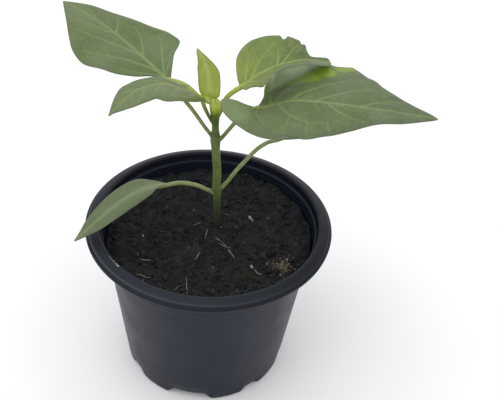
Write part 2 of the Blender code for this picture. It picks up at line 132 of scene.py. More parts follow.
# Blades. "rib" is the midrib in space from the joint to the tip. "left" and "right" are the
# margins laid flat: distance along the midrib, then distance from it. "tail" leads the blade
# back past the joint where it has a lobe. "hollow" lists how far the left half is shifted along
# the midrib at a distance from it. "roll" and the left and right "fold" are degrees at the base,
# the middle and the tip; "curl" is degrees for each millimetre of the left and the right half.
# "veins" are laid flat too, each with its width; the left side counts as positive. The two kinds of patches
# are of another green: place, reach along and across, strength. The pale ones are painted sheen, and on the
# large right leaf also painted light where the leaf above shades it. The others are painted light and shade
# on the large right leaf, a saturated green where the leaf above blocks the sheen and lets green light
# through, and on the small left leaf a brighter green band of tissue. "stalk" runs from the stem to the
# joint, and "stalk_radius" is its radius at these two ends.
LEAVES = {
    "leaf_left_large": dict(
        rib=[(-20, 10, 156), (-33, 21, 162.5), (-46, 31, 168), (-59, 40, 172), (-71.2, 46.8, 174.9)],
        left=[(3, 1.5), (7, 4.2), (11.3, 10.2), (18.2, 15.7), (23.7, 18.4), (29.7, 20.8), (35.7, 21.5),
              (41.8, 20), (47.3, 16.6), (53.8, 11.8), (60.1, 6.2)],
        right=[(1.5, 2), (4.2, 5), (9.6, 11.2), (11.6, 15.5), (13.2, 18), (15, 18.2), (17.5, 17.8),
               (21.5, 17), (29.7, 13.6), (37.2, 10.7), (45.4, 7.9), (54.1, 5.6), (61, 2.8)],
        roll=(-15, -17, -15), fold=((12, 6, 4), (12, 6, 4)),
        curl=(-0.6, -0.6), wave=0.2, relief=1.0,
        veins=[(0.42, [(16, -0.2), (21, 1), (26, 2.8), (31, 4.8), (38, 7.4), (44, 9.2), (50, 10)]),
               (0.40, [(7, 0), (11, 1.6), (15.5, 3.9), (20.3, 6.6), (25, 9.9), (33, 14.5), (38, 16.8)]),
               (0.30, [(34, -0.4), (40, 2), (46, 3.6), (53, 4.4)]),
               (0.28, [(3.5, 0), (7, 2.4), (10, 5.6), (14, 9.5), (19, 12.5)]),
               (0.42, [(4, -0.4), (7.5, -2.8), (11, -5.4), (17, -10), (21.7, -13.4)]),
               (0.40, [(18, -0.5), (20, -2), (23, -4.4), (27, -6.8), (32, -8.8)]),
               (0.30, [(35.6, -0.8), (37.4, -3.6), (39, -5.8), (42, -7.2)]),
               (0.26, [(4.6, -0.9), (6.4, -4.4), (9.5, -8.4), (12.8, -12.8)]),
               (0.24, [(48, -0.5), (51, -2), (55, -3)])],
        stalk=[(1.1, 6.8, 128.6), (-0.7, 7, 131.4), (-4.3, 7, 136.4), (-8.9, 8, 142.8), (-12.4, 8.5, 147.3),
               (-20, 10, 156)],
        # Painted sheen: greyer, lighter patches where the blade would catch the sky's reflection.
        pale=[(14, -10, 9, 7, 0.7), (58, 3, 12, 7, 0.6), (30, 14, 9, 5, 0.35)],
        stalk_radius=(0.85, 0.95)),
    "leaf_right_large": dict(
        tail=[(4.5, 5, 156.5)],
        rib=[(18, -3, 153.5), (32.5, -9, 161), (48.5, -15, 164), (67.5, -22, 166), (87, -29, 167.5)],
        left=[(-1.4, 4.3), (-2.4, 8.4), (-2.9, 12.5), (-3, 17.5), (-2.7, 22.9), (3, 27.2), (11, 28.8),
              (19, 28.1), (27.6, 24.2), (33, 26.5), (36.3, 25.1), (39.9, 20.9), (44.5, 17.4), (48.5, 16.6),
              (52.4, 13.3), (59.5, 8.2), (65.5, 5.2), (72.6, 2.2)],
        hollow=[(0, 0), (4, 2.2), (7.5, 2.6), (13, -0.2), (18, -1), (26, 0)],
        right=[(-3.9, 0.4), (-7.2, 1.1), (-11.2, 2.2), (-14.4, 5.1), (-13.5, 7.1), (-10.9, 9.7),
               (-6, 11.5), (-1.4, 13.4), (2.1, 15.5), (6.5, 17.6), (15.4, 20.2), (25, 19.3), (33, 18.1),
               (37.8, 16.9), (44.2, 13), (54, 8.1), (64, 5.4), (73, 1.9)],
        roll=(17, 18, 15), fold=((6, 4, 4), (6, 4, 4)),
        curl=(-0.7, -0.8), wave=0.4, relief=1.0,
        veins=[(0.40, [(6, 0.6), (5.6, 4.4), (3.7, 9.4), (2.6, 13), (2.4, 17)]),
               (0.45, [(6.6, 0.6), (9, 3.6), (12, 7), (16, 10.2), (21, 13.6), (27, 17)]),
               (0.38, [(16, 0.4), (21, 4.2), (27, 8), (33, 12.2), (39, 15.4)]),
               (0.40, [(27, 0.2), (30.5, 2.8), (36, 5.8), (42, 8.4), (48, 10.2)]),
               (0.34, [(46, 0.4), (50, 2.8), (55, 4.6), (60, 5.4)]),
               (0.30, [(1, 0.2), (-0.3, 3.4), (0.2, 6.8)]),
               (0.42, [(10, 0), (13, -3.6), (16.5, -7.4), (21, -10), (26.4, -11.4), (34.7, -11)]),
               (0.36, [(1, 0), (0.8, -3), (2.2, -5.4), (4.6, -8.6), (7, -12.4)]),
               (0.28, [(26, 0), (28, -2.4), (29.6, -4.4)]),
               (0.32, [(32, 0), (36.3, -3.4), (42.8, -6.6), (49, -7.6)]),
               (0.26, [(18.8, -9.2), (17.8, -12), (18.2, -15), (16, -18.4)]),
               (0.24, [(26.8, -11.3), (26.2, -14), (27.4, -17)]),
               (0.24, [(34.7, -11), (35.4, -13.4), (36.6, -15.2)]),
               (0.24, [(52, 0.2), (54.2, -1.9), (57, -3.6)]),
               (0.32, [(-0.5, 0), (-3.4, -2), (-6.4, -4), (-9.6, -5.2)])],
        stalk=[(1.1, 6.8, 129.5), (3.5, 5.5, 131.5), (7, 3.5, 138), (9.5, 1.5, 143), (13.5, -1, 149),
               (18, -3, 153.5)],
        # Painted light and shade: saturated green patches where the leaf above blocks the sheen and lets
        # green light through.
        fresh=[(-0.5, 9, 3, 6, 0.9), (21, 13.5, 5.5, 3.6, 1.0), (27, 17.5, 4.5, 3.6, 1.0),
               (35, 23, 7, 3.2, 0.7), (15.5, 11.5, 4, 1.6, 0.7)],
        # Painted light: pale patches that lift the shadow the leaf above casts on this blade, and painted
        # sheen on the lobe.
        pale=[(4, 15, 9, 6, 1.0), (13, 19, 8, 6, 1.0), (22, 23, 6, 4, 0.8), (-8, -6, 8, 7, 0.3)],
        stalk_radius=(0.9, 1.05)),
    "leaf_left_small": dict(
        rib=[(-5, 6, 151.5), (-12, 1, 157.5), (-22, -5, 163.5), (-32.5, -11, 162.5), (-42.5, -18, 155)],
        left=[(1, 2), (4, 5), (9.4, 8.5), (17.8, 11.3), (24.6, 12), (27.8, 11), (30.3, 8.7), (33.8, 8.4),
              (39.4, 6.7), (44, 3.9), (48.3, 0.9)],
        right=[(0.8, 0.8), (3.2, 2.5), (6.5, 6.3), (9.6, 8), (15.3, 7.6), (22, 6.3), (27.5, 6),
               (31.9, 6.7), (35.7, 6.9), (39.5, 7.2), (44.7, 4.4), (47.6, 2.3)],
        roll=(-12, -10, -8), fold=((15, 8, 4), (12, 0, 0)),
        curl=(-1.0, -2.0), relief=0.9,
        veins=[(0.30, [(24, 0.1), (26.4, 2.2), (29, 4.6), (31, 6.6)]),
               (0.28, [(31, 0.1), (33, 1.8), (35, 4.2), (38, 5.8)]),
               (0.28, [(15, 0), (18.4, 3.2), (21.7, 6.4), (24, 8.8)]),
               (0.24, [(6, 0), (9.4, 2.6), (13, 5.4), (17, 8)]),
               (0.28, [(8, 0), (12, -2.2), (16, -4), (21, -5)]),
               (0.26, [(20, 0), (24, -1.8), (28, -3.4), (32, -4.6)]),
               (0.22, [(33, 0), (36.5, -2), (40, -4)])],
        stalk=[(0.5, 6.8, 138), (-1.7, 6.4, 141), (-4, 6, 146), (-5.2, 6, 149.5), (-5, 6, 151.5)],
        fresh=[(13, -6.5, 8, 3.2, 1.0), (4, -2, 6, 3, 1.0)],
        # Painted sheen near the tip.
        pale=[(38, 1, 9, 6, 0.5)],
        stalk_radius=(0.62, 1.2)),
    "leaf_right_upper": dict(
        rib=[(10.5, 7, 157), (18.5, 6, 164.5), (27.5, 6, 169.5), (37.5, 6.5, 172), (49, 8, 170.5)],
        left=[(0.1, 3.6), (0.3, 7.2), (1.2, 12.3), (2.8, 16.4), (6.2, 18.7), (10.5, 18.8), (15, 17.8),
              (18.3, 17), (21.8, 15.6), (23.6, 15), (24.3, 13), (25.4, 12.9), (26.5, 14), (29.1, 12.3),
              (30.8, 11), (31.2, 9.2), (32.8, 8.8), (33, 6.2), (33.6, 3.6), (35.2, 2.3), (39.6, 2.9),
              (42.3, 3)],
        right=[(1, 2), (3, 4.6), (5, 7.6), (8, 9.6), (11, 13.2), (13.8, 17.8), (15.8, 15.8), (18.2, 12.5),
               (21, 10.4), (24.5, 9), (28.5, 8.4), (33.6, 8.6), (37.5, 7.4), (41, 4.4)],
        fold=((34, 32, 15), (-4, 22, 12)),
        curl=(-0.4, -0.4), relief=0.8,
        veins=[(0.38, [(3, 0.2), (4.6, 3.4), (6, 6.8), (8, 10.6), (10, 14.6)]),
               (0.40, [(6, 0.1), (9, 3), (12.4, 6), (17.4, 9), (21, 12.2)]),
               (0.30, [(19.6, 0.6), (20.6, 3.2), (21.2, 5.6), (21.6, 8.4)]),
               (0.34, [(21.6, 0.8), (24.4, 3.2), (27, 6), (29.6, 8.6)]),
               (0.24, [(12.2, 5.9), (12.4, 8), (12, 10.4)]),
               (0.34, [(5, 0), (7.6, -3.4), (10, -7), (12.6, -11.4)]),
               (0.30, [(13, 0), (16.4, -3), (20, -6)]),
               (0.26, [(24, 0), (27.5, -2.6), (31, -5.4)])],
        stalk=[(0.6, 6.9, 141.5), (2.9, 7.2, 145.5), (4.2, 7.3, 150.2), (6.2, 7.3, 153.1), (8.3, 7.2, 155.2),
               (10.5, 7, 157)],
        stalk_radius=(0.95, 1.2)),
    "leaf_young": dict(
        up=(0, -1, 0),
        rib=[(-2, 8.2, 151.1), (-2.5, 8.7, 156.5), (-3.5, 9.7, 162.5), (-6, 11, 168.5), (-8.5, 12, 172)],
        left=[(0.3, 2.9), (3, 4.7), (6, 5), (9, 4.9), (14, 4.1), (17.6, 2.6), (20.8, 1.5)],
        right=[(0.1, 3.6), (3, 4.6), (8.4, 5.1), (11.3, 5), (14, 4), (16.6, 2.6), (20, 1)],
        fold=((20, 15, 10), (20, 15, 10)),
        curl=(0.5, 0.5), relief=0.5, midrib=1.3,
        veins=[(0.22, [(3, 0), (6, 1.4), (9, 2.6), (12, 3.2)]),
               (0.20, [(8, 0), (11, 1.2), (14, 2)]),
               (0.22, [(3, 0), (6, -1.4), (9, -2.6), (12, -3.4)]),
               (0.20, [(8, 0), (11, -1.2), (14.5, -2.2)])],
        stalk=[(0.2, 7.4, 148.4), (-0.6, 8.4, 149.6), (-2, 8.8, 151.1)],
        stalk_radius=(1.3, 1.2)),
    "cotyledon_left": dict(
        rib=[(-17, 5.5, 104.5), (-26.5, 2, 105), (-35.5, -4, 105), (-46.5, -13, 101), (-61, -24, 91.5)],
        left=[(5, 0.9), (10, 2), (15, 5.4), (21.5, 7), (29, 7.1), (36, 6.7), (43.6, 5.6), (50.6, 2.9)],
        right=[(5, 1), (9.5, 4), (13.6, 7.3), (17, 8.4), (26, 8.4), (34, 7.6), (45.6, 5), (52, 2.1)],
        fold=((8, 4, 4), (8, 4, 4)),
        curl=(-1.0, -1.0), relief=0.25, midrib=1.5,
        veins=[(0.22, [(14, 0), (20, 2.4), (27, 3.8)]),
               (0.22, [(12, 0), (18, -2.6), (26, -4.4)])],
        stalk=[(2.9, 7, 98.5), (0.3, 6.9, 99.2), (-3, 6.6, 101), (-7, 6.4, 103), (-13, 6, 104.5),
               (-17, 5.5, 104.5)],
        stalk_radius=(1.0, 1.1)),
    "cotyledon_right": dict(
        rib=[(25.8, 14.5, 124.4), (34, 18, 126), (43, 22, 128), (52.5, 26, 129.5), (63, 30, 130)],
        left=[(5, 1.2), (10, 4), (15, 6.8), (20, 7.6), (27, 7), (34, 4.4), (39, 1.8)],
        right=[(5, 1.2), (10, 4), (15, 6.4), (20, 7.2), (27, 6.6), (34, 4.2), (39, 1.8)],
        fold=((8, 4, 4), (8, 4, 4)),
        curl=(-1.0, -1.0), relief=0.25, midrib=1.5,
        veins=[(0.22, [(10, 0), (16, 2.4), (23, 3.8)]),
               (0.22, [(9, 0), (15, -2.4), (22, -3.8)])],
        stalk=[(2.8, 7, 100.5), (5.4, 7.2, 102.5), (8, 8, 105.5), (11, 9, 110), (16.6, 11, 116.9),
               (21.2, 12.9, 121.6), (25.8, 14.5, 124.4)],
        stalk_radius=(1.0, 1.0)),
}


# Small tools for paths and meshes

def smoothstep(x):
    """A soft step from 0 to 1."""
    x = np.clip(x, 0, 1)
    return x * x * (3 - 2 * x)


def unit(vectors):
    """The same directions, with length one."""
    return vectors / np.linalg.norm(vectors, axis=-1)[..., None]


def around(radius, turn):
    """x and y at a distance from the pot's axis; the angle is in radians."""
    return radius * np.cos(turn), radius * np.sin(turn)


def full_turn(sides):
    """Angles of points evenly spaced around a circle."""
    return 2 * np.pi * np.arange(sides) / sides


def smooth_path(points, steps):
    """A smooth line through the given points."""
    p = np.asarray(points, float)
    p = np.vstack([2 * p[0] - p[1], p, 2 * p[-1] - p[-2]])
    out = []
    for i in range(1, len(p) - 2):
        a, b, c, d = p[i - 1:i + 3]
        t = np.linspace(0, 1, steps, endpoint=False)[:, None]
        out.append(0.5 * (2 * b + (c - a) * t + (2 * a - 5 * b + 4 * c - d) * t ** 2
                          + (3 * b - a - 3 * c + d) * t ** 3))
    out.append(p[-2][None])
    return np.vstack(out)


def arc_length(path):
    """Distance along a line at each of its points."""
    step = np.linalg.norm(np.diff(path, axis=0), axis=1)
    return np.concatenate([[0], np.cumsum(step)])


def along_line(at, arc, values):
    """The values of a line, one row for each of its points, at distances along it."""
    return np.stack([np.interp(at, arc, column) for column in values.T], -1)


def even_path(path, spacing):
    """The same line with its points evenly spaced."""
    arc = arc_length(path)
    count = max(int(arc[-1] / spacing), 2) + 1
    return along_line(np.linspace(0, arc[-1], count), arc, path)


def lumps(points, scale, octaves):
    """Smooth noise of about -1 to 1 at each point, for lumps of the given size."""
    spots = np.asarray(points, float) / scale
    return np.array([noise.fractal(Vector(p), 0.9, 2.0, octaves) for p in spots])


def new_mesh(name, points, faces):
    """A mesh from points in millimetres."""
    mesh = bpy.data.meshes.new(name)
    mesh.from_pydata((np.asarray(points, float) * MM).tolist(), [], faces)
    return mesh


def new_object(name, data):
    """A mesh, camera or light put in the scene."""
    made = bpy.data.objects.new(name, data)
    bpy.context.scene.collection.objects.link(made)
    return made


def add_piece(name, points, faces, materials, replaces=None, sharp=60):
    """A visible piece that rides with the object and may stand for one of its nodes."""
    mesh = new_mesh(name, points, faces)
    piece = new_object(name, mesh)
    for material in materials:
        mesh.materials.append(material)
    mesh.shade_smooth()
    mesh.set_sharp_from_angle(angle=np.radians(sharp))
    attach(piece, "root")
    if replaces:
        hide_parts(replaces)
    return piece


def set_number(piece, name, values):
    """Store one number for each point, to be read by the material."""
    attribute = piece.data.attributes.new(name, "FLOAT", "POINT")
    attribute.data.foreach_set("value", np.asarray(values, np.float32))


def sheet_faces(rows, cols):
    """Faces of a thin closed sheet: an upper and a lower grid, stored row by row, and two margins."""
    i, j = np.meshgrid(np.arange(rows - 1), np.arange(cols - 1), indexing="ij")
    a = (i * cols + j).ravel()
    upper = np.stack([a, a + 1, a + cols + 1, a + cols], -1)
    lower = upper[:, ::-1] + rows * cols
    faces = upper.tolist() + lower.tolist()
    for column in (0, cols - 1):
        for row in range(rows - 1):
            a, b = row * cols + column, (row + 1) * cols + column
            quad = [a, b, b + rows * cols, a + rows * cols]
            faces.append(quad if column == 0 else quad[::-1])
    return faces


def tube_faces(rings, sides):
    """Faces of a tube whose points are stored ring by ring, and one face at each end."""
    i, j = np.meshgrid(np.arange(rings - 1), np.arange(sides), indexing="ij")
    n = (j + 1) % sides
    a = i * sides
    faces = np.stack([a + j, a + n, a + sides + n, a + sides + j], -1).reshape(-1, 4).tolist()
    faces.append(list(range(sides - 1, -1, -1)))
    faces.append([(rings - 1) * sides + k for k in range(sides)])
    return faces


def tube(path, radii, sides, shape=None, up=(0.0, 0.0, 1.0)):
    """Points and faces of a closed round bar. "shape" changes the radius around the ring."""
    path = np.asarray(path, float)
    tangents = unit(np.gradient(path, axis=0))
    radii = np.broadcast_to(np.asarray(radii, float), (len(path),))
    turn = full_turn(sides)
    points = []
    top = np.asarray(up, float)
    for i, (centre, tangent) in enumerate(zip(path, tangents)):
        wanted = np.asarray(up, float) - tangent * np.dot(up, tangent)
        carried = top - tangent * np.dot(top, tangent)
        top = carried * 0.9 + wanted * 0.1
        top /= np.linalg.norm(top)
        side = np.cross(tangent, top)
        r = np.full(sides, radii[i])
        if shape is not None:
            r = r * shape(turn, i / (len(path) - 1))
        ring = np.cos(turn)[:, None] * top + np.sin(turn)[:, None] * side
        points.append(centre + ring * r[:, None])
    return np.vstack(points), tube_faces(len(path), sides)


def join_shapes(shapes):
    """Several (points, faces) put together in one list of points and one of faces."""
    points, faces = [], []
    count = 0
    for some_points, some_faces in shapes:
        points.append(np.asarray(some_points, float))
        faces += [[k + count for k in face] for face in some_faces]
        count += len(some_points)
    return np.vstack(points), faces


# Leaf surfaces

def rib_line(leaf):
    """The midrib, its distance from the joint and its direction."""
    steps = 24
    path = smooth_path([*leaf["tail"], *leaf["rib"]], steps)
    arc = arc_length(path)
    arc = arc - arc[steps * len(leaf["tail"])]
    return path, arc, unit(np.gradient(path, arc, axis=0))


def rib_length(leaf):
    """Length of the midrib from the joint to the tip."""
    return rib_line(leaf)[1][-1]


def blade_point(leaf, s, t):
    """Carry flat blade coordinates into space: s along the midrib, t across it."""
    path, arc, tangent = rib_line(leaf)
    near = np.clip(s, arc[0], arc[-1])
    along = unit(along_line(near, arc, tangent))
    position = along_line(near, arc, path) + along * (s - near)[..., None]
    side = unit(np.cross(np.asarray(leaf["up"], float), along))
    normal = np.cross(along, side)
    f = np.clip(s / arc[-1], 0, 1)
    stops = (0, 0.5, 1)
    left = t >= 0
    roll = np.radians(np.interp(f, stops, leaf["roll"]))[..., None]
    side, normal = (side * np.cos(roll) + normal * np.sin(roll),
                    normal * np.cos(roll) - side * np.sin(roll))
    fold = np.where(left, *(np.interp(f, stops, angles) for angles in leaf["fold"]))
    curl = np.radians(np.where(left, *leaf["curl"]))
    width = np.abs(t)
    fold = np.radians(fold) * width / (width + FOLD_REACH)
    half = curl * width / 2
    chord = width * np.sinc(half / np.pi)
    x = chord * np.cos(fold + half)
    z = chord * np.sin(fold + half)
    z = z + leaf["wave"] * (width / WAVE_WIDTH) ** 2 * np.sin(s / WAVE_STEP + np.where(left, 0, 1.9))
    x = np.where(left, x, -x)
    return position + side * x[..., None] + normal * z[..., None]


def blade_normal(leaf, s, t):
    """Unit normal of the blade surface."""
    reach = 0.2
    ahead = blade_point(leaf, s + reach, t) - blade_point(leaf, s - reach, t)
    beside = blade_point(leaf, s, t + reach) - blade_point(leaf, s, t - reach)
    return unit(np.cross(ahead, beside))


def margin_line(points, length):
    """One flat margin, with the place on the midrib that each of its points is joined to."""
    blunt = min(TIP_ROUNDING, 0.02 * length)
    flat = smooth_path([(0.0, 0.0)] + list(points) + [(length - 0.6 * blunt, blunt), (length, 0.0)], 12)
    arc = arc_length(flat)
    lead = np.maximum.accumulate(np.maximum(flat[:, 0] - 0.45 * flat[:, 1], 0))
    lead = lead + 0.08 * length * arc / arc[-1]
    return flat, arc, lead * length / lead[-1]


def pull_base(leaf, s, t):
    """Shift the base of the left half along the midrib, so that its lobe hangs over a hollow."""
    line = smooth_path(leaf["hollow"], 8)
    shift = np.interp(t, line[:, 0], line[:, 1], left=0.0, right=0.0)
    return s + shift * (1 - smoothstep((s - 2.0) / 12.0))


def blade_grid(leaf, spacing):
    """Rows of flat points from the left margin over the midrib to the right margin."""
    length = rib_length(leaf)
    margins = [margin_line(leaf[k], length) for k in ("left", "right")]
    widest = max(flat[:, 1].max() for flat, arc, lead in margins)
    cols = int(widest / spacing) + 1
    r = np.linspace(0, length, 2000)
    measure = r + sum(np.interp(r, lead, arc) for flat, arc, lead in margins)
    rows = int(measure[-1] / ROW_STEP / spacing)
    r = np.interp(np.linspace(0, measure[-1], rows), measure, r)
    s, t, inset = np.zeros((3, rows, 2 * cols + 1))
    steps = np.arange(cols + 1)
    v = steps / cols
    for sign, (flat, arc, lead) in zip((1, -1), margins):
        edge = along_line(np.interp(r, lead, arc), arc, flat)
        width = np.hypot(edge[:, 0] - r, edge[:, 1])
        columns = cols - sign * steps
        s[:, columns] = (1 - v) * r[:, None] + v * edge[:, :1]
        t[:, columns] = sign * v * edge[:, 1:]
        inset[:, columns] = (1 - v) * width[:, None]
    if leaf["hollow"]:
        s = pull_base(leaf, s, t)
    return s, t, inset


def side_branches(rng, line, spacing):
    """Fine veins that leave a larger one on both sides and bend towards the tip."""
    path = even_path(smooth_path(line, 12), 0.5)
    arc = arc_length(path)
    out = []
    at = spacing * rng.uniform(0.6, 1.0)
    sign = 1
    while at < arc[-1] - 1.0:
        i = min(np.searchsorted(arc, at), len(path) - 2)
        along = path[i + 1] - path[i]
        along /= np.linalg.norm(along)
        across = np.array([-along[1], along[0]]) * sign
        reach = rng.uniform(2.6, 5.2)
        start = path[i]
        middle = start + across * reach * 0.5 + along * reach * rng.uniform(0.1, 0.35)
        end = start + across * reach + along * reach * rng.uniform(0.5, 0.9)
        out.append((FINE_VEIN, [start, middle, end]))
        sign = -sign
        at += spacing * rng.uniform(0.35, 0.75)
    return out


def nearest_on(line, s, t):
    """Distance from each flat point to a line, and how far along the line that is, 0 to 1."""
    path = even_path(smooth_path(line, 10), 0.22)
    gap = np.full(s.shape, 99.0)
    where = np.zeros(s.shape)
    low, high = path.min(0) - 4, path.max(0) + 4
    close = (s > low[0]) & (s < high[0]) & (t > low[1]) & (t < high[1])
    far = np.hypot(s[close][:, None] - path[:, 0], t[close][:, None] - path[:, 1])
    best = far.argmin(axis=1)
    gap[close] = far[np.arange(len(far)), best]
    where[close] = best / (len(path) - 1)
    return gap, where


def vein_fields(leaf, s, t):
    """For each flat point: how much vein shows, and how far the nearest vein and the midrib are."""
    rng = np.random.default_rng(SEED)
    length = rib_length(leaf)
    midrib = (leaf["midrib"], [(0, 0), (length * 0.35, 0), (length * 0.7, 0), (length, 0)])
    main = [midrib] + list(leaf["veins"])
    fine = [branch for width, line in main for branch in side_branches(rng, line, BRANCH_SPACING)]
    shown = np.zeros(s.shape)
    apart = np.full(s.shape, 12.0)
    strengths = [1.0] + [VEIN_SHOWN] * len(leaf["veins"]) + [FINE_VEIN_SHOWN] * len(fine)
    for order, (most, (width, line)) in enumerate(zip(strengths, main + fine)):
        gap, where = nearest_on(line, s, t)
        taper = 1.25 * width * (1 - 0.6 * where)
        strength = (1 - 0.5 * where) * most
        shown = np.maximum(shown, strength * np.exp(-(gap / np.maximum(taper, 0.16)) ** 2))
        if order < len(main):
            apart = np.minimum(apart, gap + 1.2 * where * (order > 0))
    return shown, apart, nearest_on(midrib[1], s, t)[0]


def patch_field(patches, s, t):
    """Soft oval patches of another green: place, reach both ways and strength of each."""
    field = np.zeros(s.shape)
    for cs, ct, reach_s, reach_t, strength in patches:
        far = np.hypot((s - cs) / reach_s, (t - ct) / reach_t)
        field = np.maximum(field, strength * smoothstep((1.25 - far) / 0.6))
    return field


def leaf_fields(leaf, s, t, inset, shown):
    """The numbers that a leaf's material reads at the points of both faces."""
    both = {
        "vein": shown,
        "level": s / rib_length(leaf),
        "rim": 1 - smoothstep(inset / 0.7),
        "border": 1 - smoothstep(inset / 4.0),
        "fresh": patch_field(leaf["fresh"], s, t),
        "pale": patch_field(leaf["pale"], s, t),
    }
    fields = {name: np.tile(values.ravel(), 2) for name, values in both.items()}
    fields["under"] = np.repeat([0.0, 1.0], s.size)
    return fields


def leaf_shape(leaf, spacing=BLADE_SPACING, thickness=BLADE_THICKNESS):
    """The blade as a thin closed sheet: veins sunk on top and raised below, swollen between."""
    s, t, inset = blade_grid(leaf, spacing)
    shown, apart, from_rib = vein_fields(leaf, s, t)
    spots = np.stack([s.ravel(), t.ravel(), np.zeros(s.size)], -1)
    ripple = lumps(spots + 17.0, 4.5, 2).reshape(s.shape)
    grain = lumps(spots + 5.0, 1.3, 2).reshape(s.shape)
    swell = SWELLING * (1 - np.exp(-(apart / 2.6) ** 2)) + 0.14 * ripple + 0.04 * grain
    sunk = VEIN_GROOVE * np.exp(-(apart / 0.7) ** 2) * (1 - np.exp(-(from_rib / 1.2) ** 2))
    sunk -= MIDRIB_GROOVE * np.exp(-(from_rib / 0.5) ** 2)
    ridge = VEIN_RIDGE * shown
    relief = leaf["relief"] * smoothstep(inset / 2.5)
    middle = blade_point(leaf, s, t)
    normal = blade_normal(leaf, s, t)
    half = 0.5 * thickness * (0.25 + 0.75 * smoothstep(inset / 0.8))
    upper = middle + normal * (half + relief * (swell - sunk))[..., None]
    lower = middle + normal * (relief * swell - half - relief * ridge)[..., None]
    points = np.vstack([upper.reshape(-1, 3), lower.reshape(-1, 3)])
    return points, sheet_faces(*s.shape), leaf_fields(leaf, s, t, inset, shown)


def stalk_shape(leaf):
    """The stalk, grooved on top and swollen at the stem, thinning out under the midrib."""
    near, far = leaf["stalk_radius"]
    stalk = smooth_path(leaf["stalk"], 12)[:-1]
    length = rib_length(leaf)
    s = np.linspace(0.0, 0.82 * length, 60)
    flat = np.zeros(len(s))
    taper = far * (1 - s / s[-1]) ** 0.8 * 0.75 + 0.22
    taper = far + (taper - far) * smoothstep(s / (0.12 * length))
    sink = (taper + 0.12) * smoothstep(s / (0.16 * length))
    path = np.vstack([stalk, blade_point(leaf, s, flat) - blade_normal(leaf, s, flat) * sink[:, None]])
    radii = np.concatenate([np.linspace(near, far, len(stalk)), taper])
    joint = arc_length(stalk)[-1]
    line = even_path(np.column_stack([path, radii]), 0.45)
    for _ in range(8):
        line[1:-1] = 0.25 * line[:-2] + 0.5 * line[1:-1] + 0.25 * line[2:]
    arc = arc_length(line[:, :3])
    flare = 1 + STALK_FLARE * np.exp(-((arc - 1.2) / 2.2) ** 2)

    def section(turn, f):
        groove = 0.16 * np.exp(-(np.minimum(turn, 2 * np.pi - turn) / 0.5) ** 2)
        return 1 - groove * (f < 0.6)

    points, faces = tube(line[:, :3], line[:, 3] * flare, STALK_SIDES, section)
    return points, faces, np.repeat(np.clip(arc / joint, 0, 1), STALK_SIDES)


# Materials

class Nodes:
    """A short way to build a node material."""

    def __init__(self, name):
        self.material = bpy.data.materials.new(name)
        self.material.use_nodes = True
        self.tree = self.material.node_tree
        self.shader = self.tree.nodes["Principled BSDF"]

    def add(self, kind, **values):
        """A node with some of its own settings and unlinked inputs."""
        node = self.tree.nodes.new(kind)
        for key, value in values.items():
            if hasattr(node, key):
                setattr(node, key, value)
            else:
                node.inputs[key.replace("_", " ")].default_value = value
        return node

    def link(self, out, into):
        self.tree.links.new(out, into)

    def number(self, name):
        """A number stored on the mesh."""
        return self.add("ShaderNodeAttribute", attribute_name=name).outputs["Fac"]

    def ramp(self, value, stops):
        """A number turned into a colour, or a grey, by a few stops."""
        node = self.add("ShaderNodeValToRGB")
        ramp = node.color_ramp
        while len(ramp.elements) < len(stops):
            ramp.elements.new(0.5)
        for element, (place, colour) in zip(ramp.elements, stops):
            element.position = place
            element.color = (*colour, 1.0) if isinstance(colour, tuple) else (colour, colour, colour, 1.0)
        self.link(value, node.inputs["Fac"])
        return node.outputs["Color"]

    def fade(self, value, low, high, most=1.0):
        """Nothing up to the number low, then more and more until it reaches high."""
        return self.ramp(value, [(low, 0.0), (high, most)])

    def math(self, operation, a, b):
        node = self.add("ShaderNodeMath", operation=operation)
        for socket, value in zip(node.inputs, (a, b)):
            if isinstance(value, (int, float)):
                socket.default_value = value
            else:
                self.link(value, socket)
        return node.outputs[0]

    def mix(self, factor, a, b, blend="MIX"):
        """Two colours mixed."""
        node = self.add("ShaderNodeMix", data_type="RGBA", blend_type=blend, clamp_factor=True)
        for socket, value in zip((node.inputs[0], node.inputs[6], node.inputs[7]), (factor, a, b)):
            if isinstance(value, tuple):
                socket.default_value = (*value, 1.0)
            elif isinstance(value, (int, float)):
                socket.default_value = value
            else:
                self.link(value, socket)
        return node.outputs[2]

    def stretched(self, vector, factors):
        """A vector with its three parts multiplied."""
        node = self.add("ShaderNodeVectorMath", operation="MULTIPLY")
        node.inputs[1].default_value = factors
        self.link(vector, node.inputs[0])
        return node.outputs[0]

    def place(self):
        """Position on the object in millimetres."""
        return self.stretched(self.add("ShaderNodeTexCoord").outputs["Object"], (1 / MM, 1 / MM, 1 / MM))

    def noise(self, vector, size, detail=3.0, roughness=0.55):
        """Noise with lumps of the given size in millimetres."""
        node = self.add("ShaderNodeTexNoise", Scale=1.0 / size, Detail=detail, Roughness=roughness)
        self.link(vector, node.inputs["Vector"])
        return node.outputs["Fac"]

    def cells(self, vector, size, feature="DISTANCE_TO_EDGE"):
        """Cells of the given size in millimetres."""
        node = self.add("ShaderNodeTexVoronoi", feature=feature, Scale=1.0 / size)
        self.link(vector, node.inputs["Vector"])
        return node.outputs["Distance"]

    def bump(self, height, distance, strength=1.0):
        node = self.add("ShaderNodeBump", Distance=distance * MM, Strength=strength)
        self.link(height, node.inputs["Height"])
        self.link(node.outputs["Normal"], self.shader.inputs["Normal"])

    def done(self, colour, roughness=None, **uniform):
        """Connect colour and roughness, and set what is the same all over on the shader itself."""
        self.link(colour, self.shader.inputs["Base Color"])
        if roughness is not None:
            self.link(roughness, self.shader.inputs["Roughness"])
        for key, value in uniform.items():
            self.shader.inputs[key.replace("_", " ")].default_value = value
        return self.material


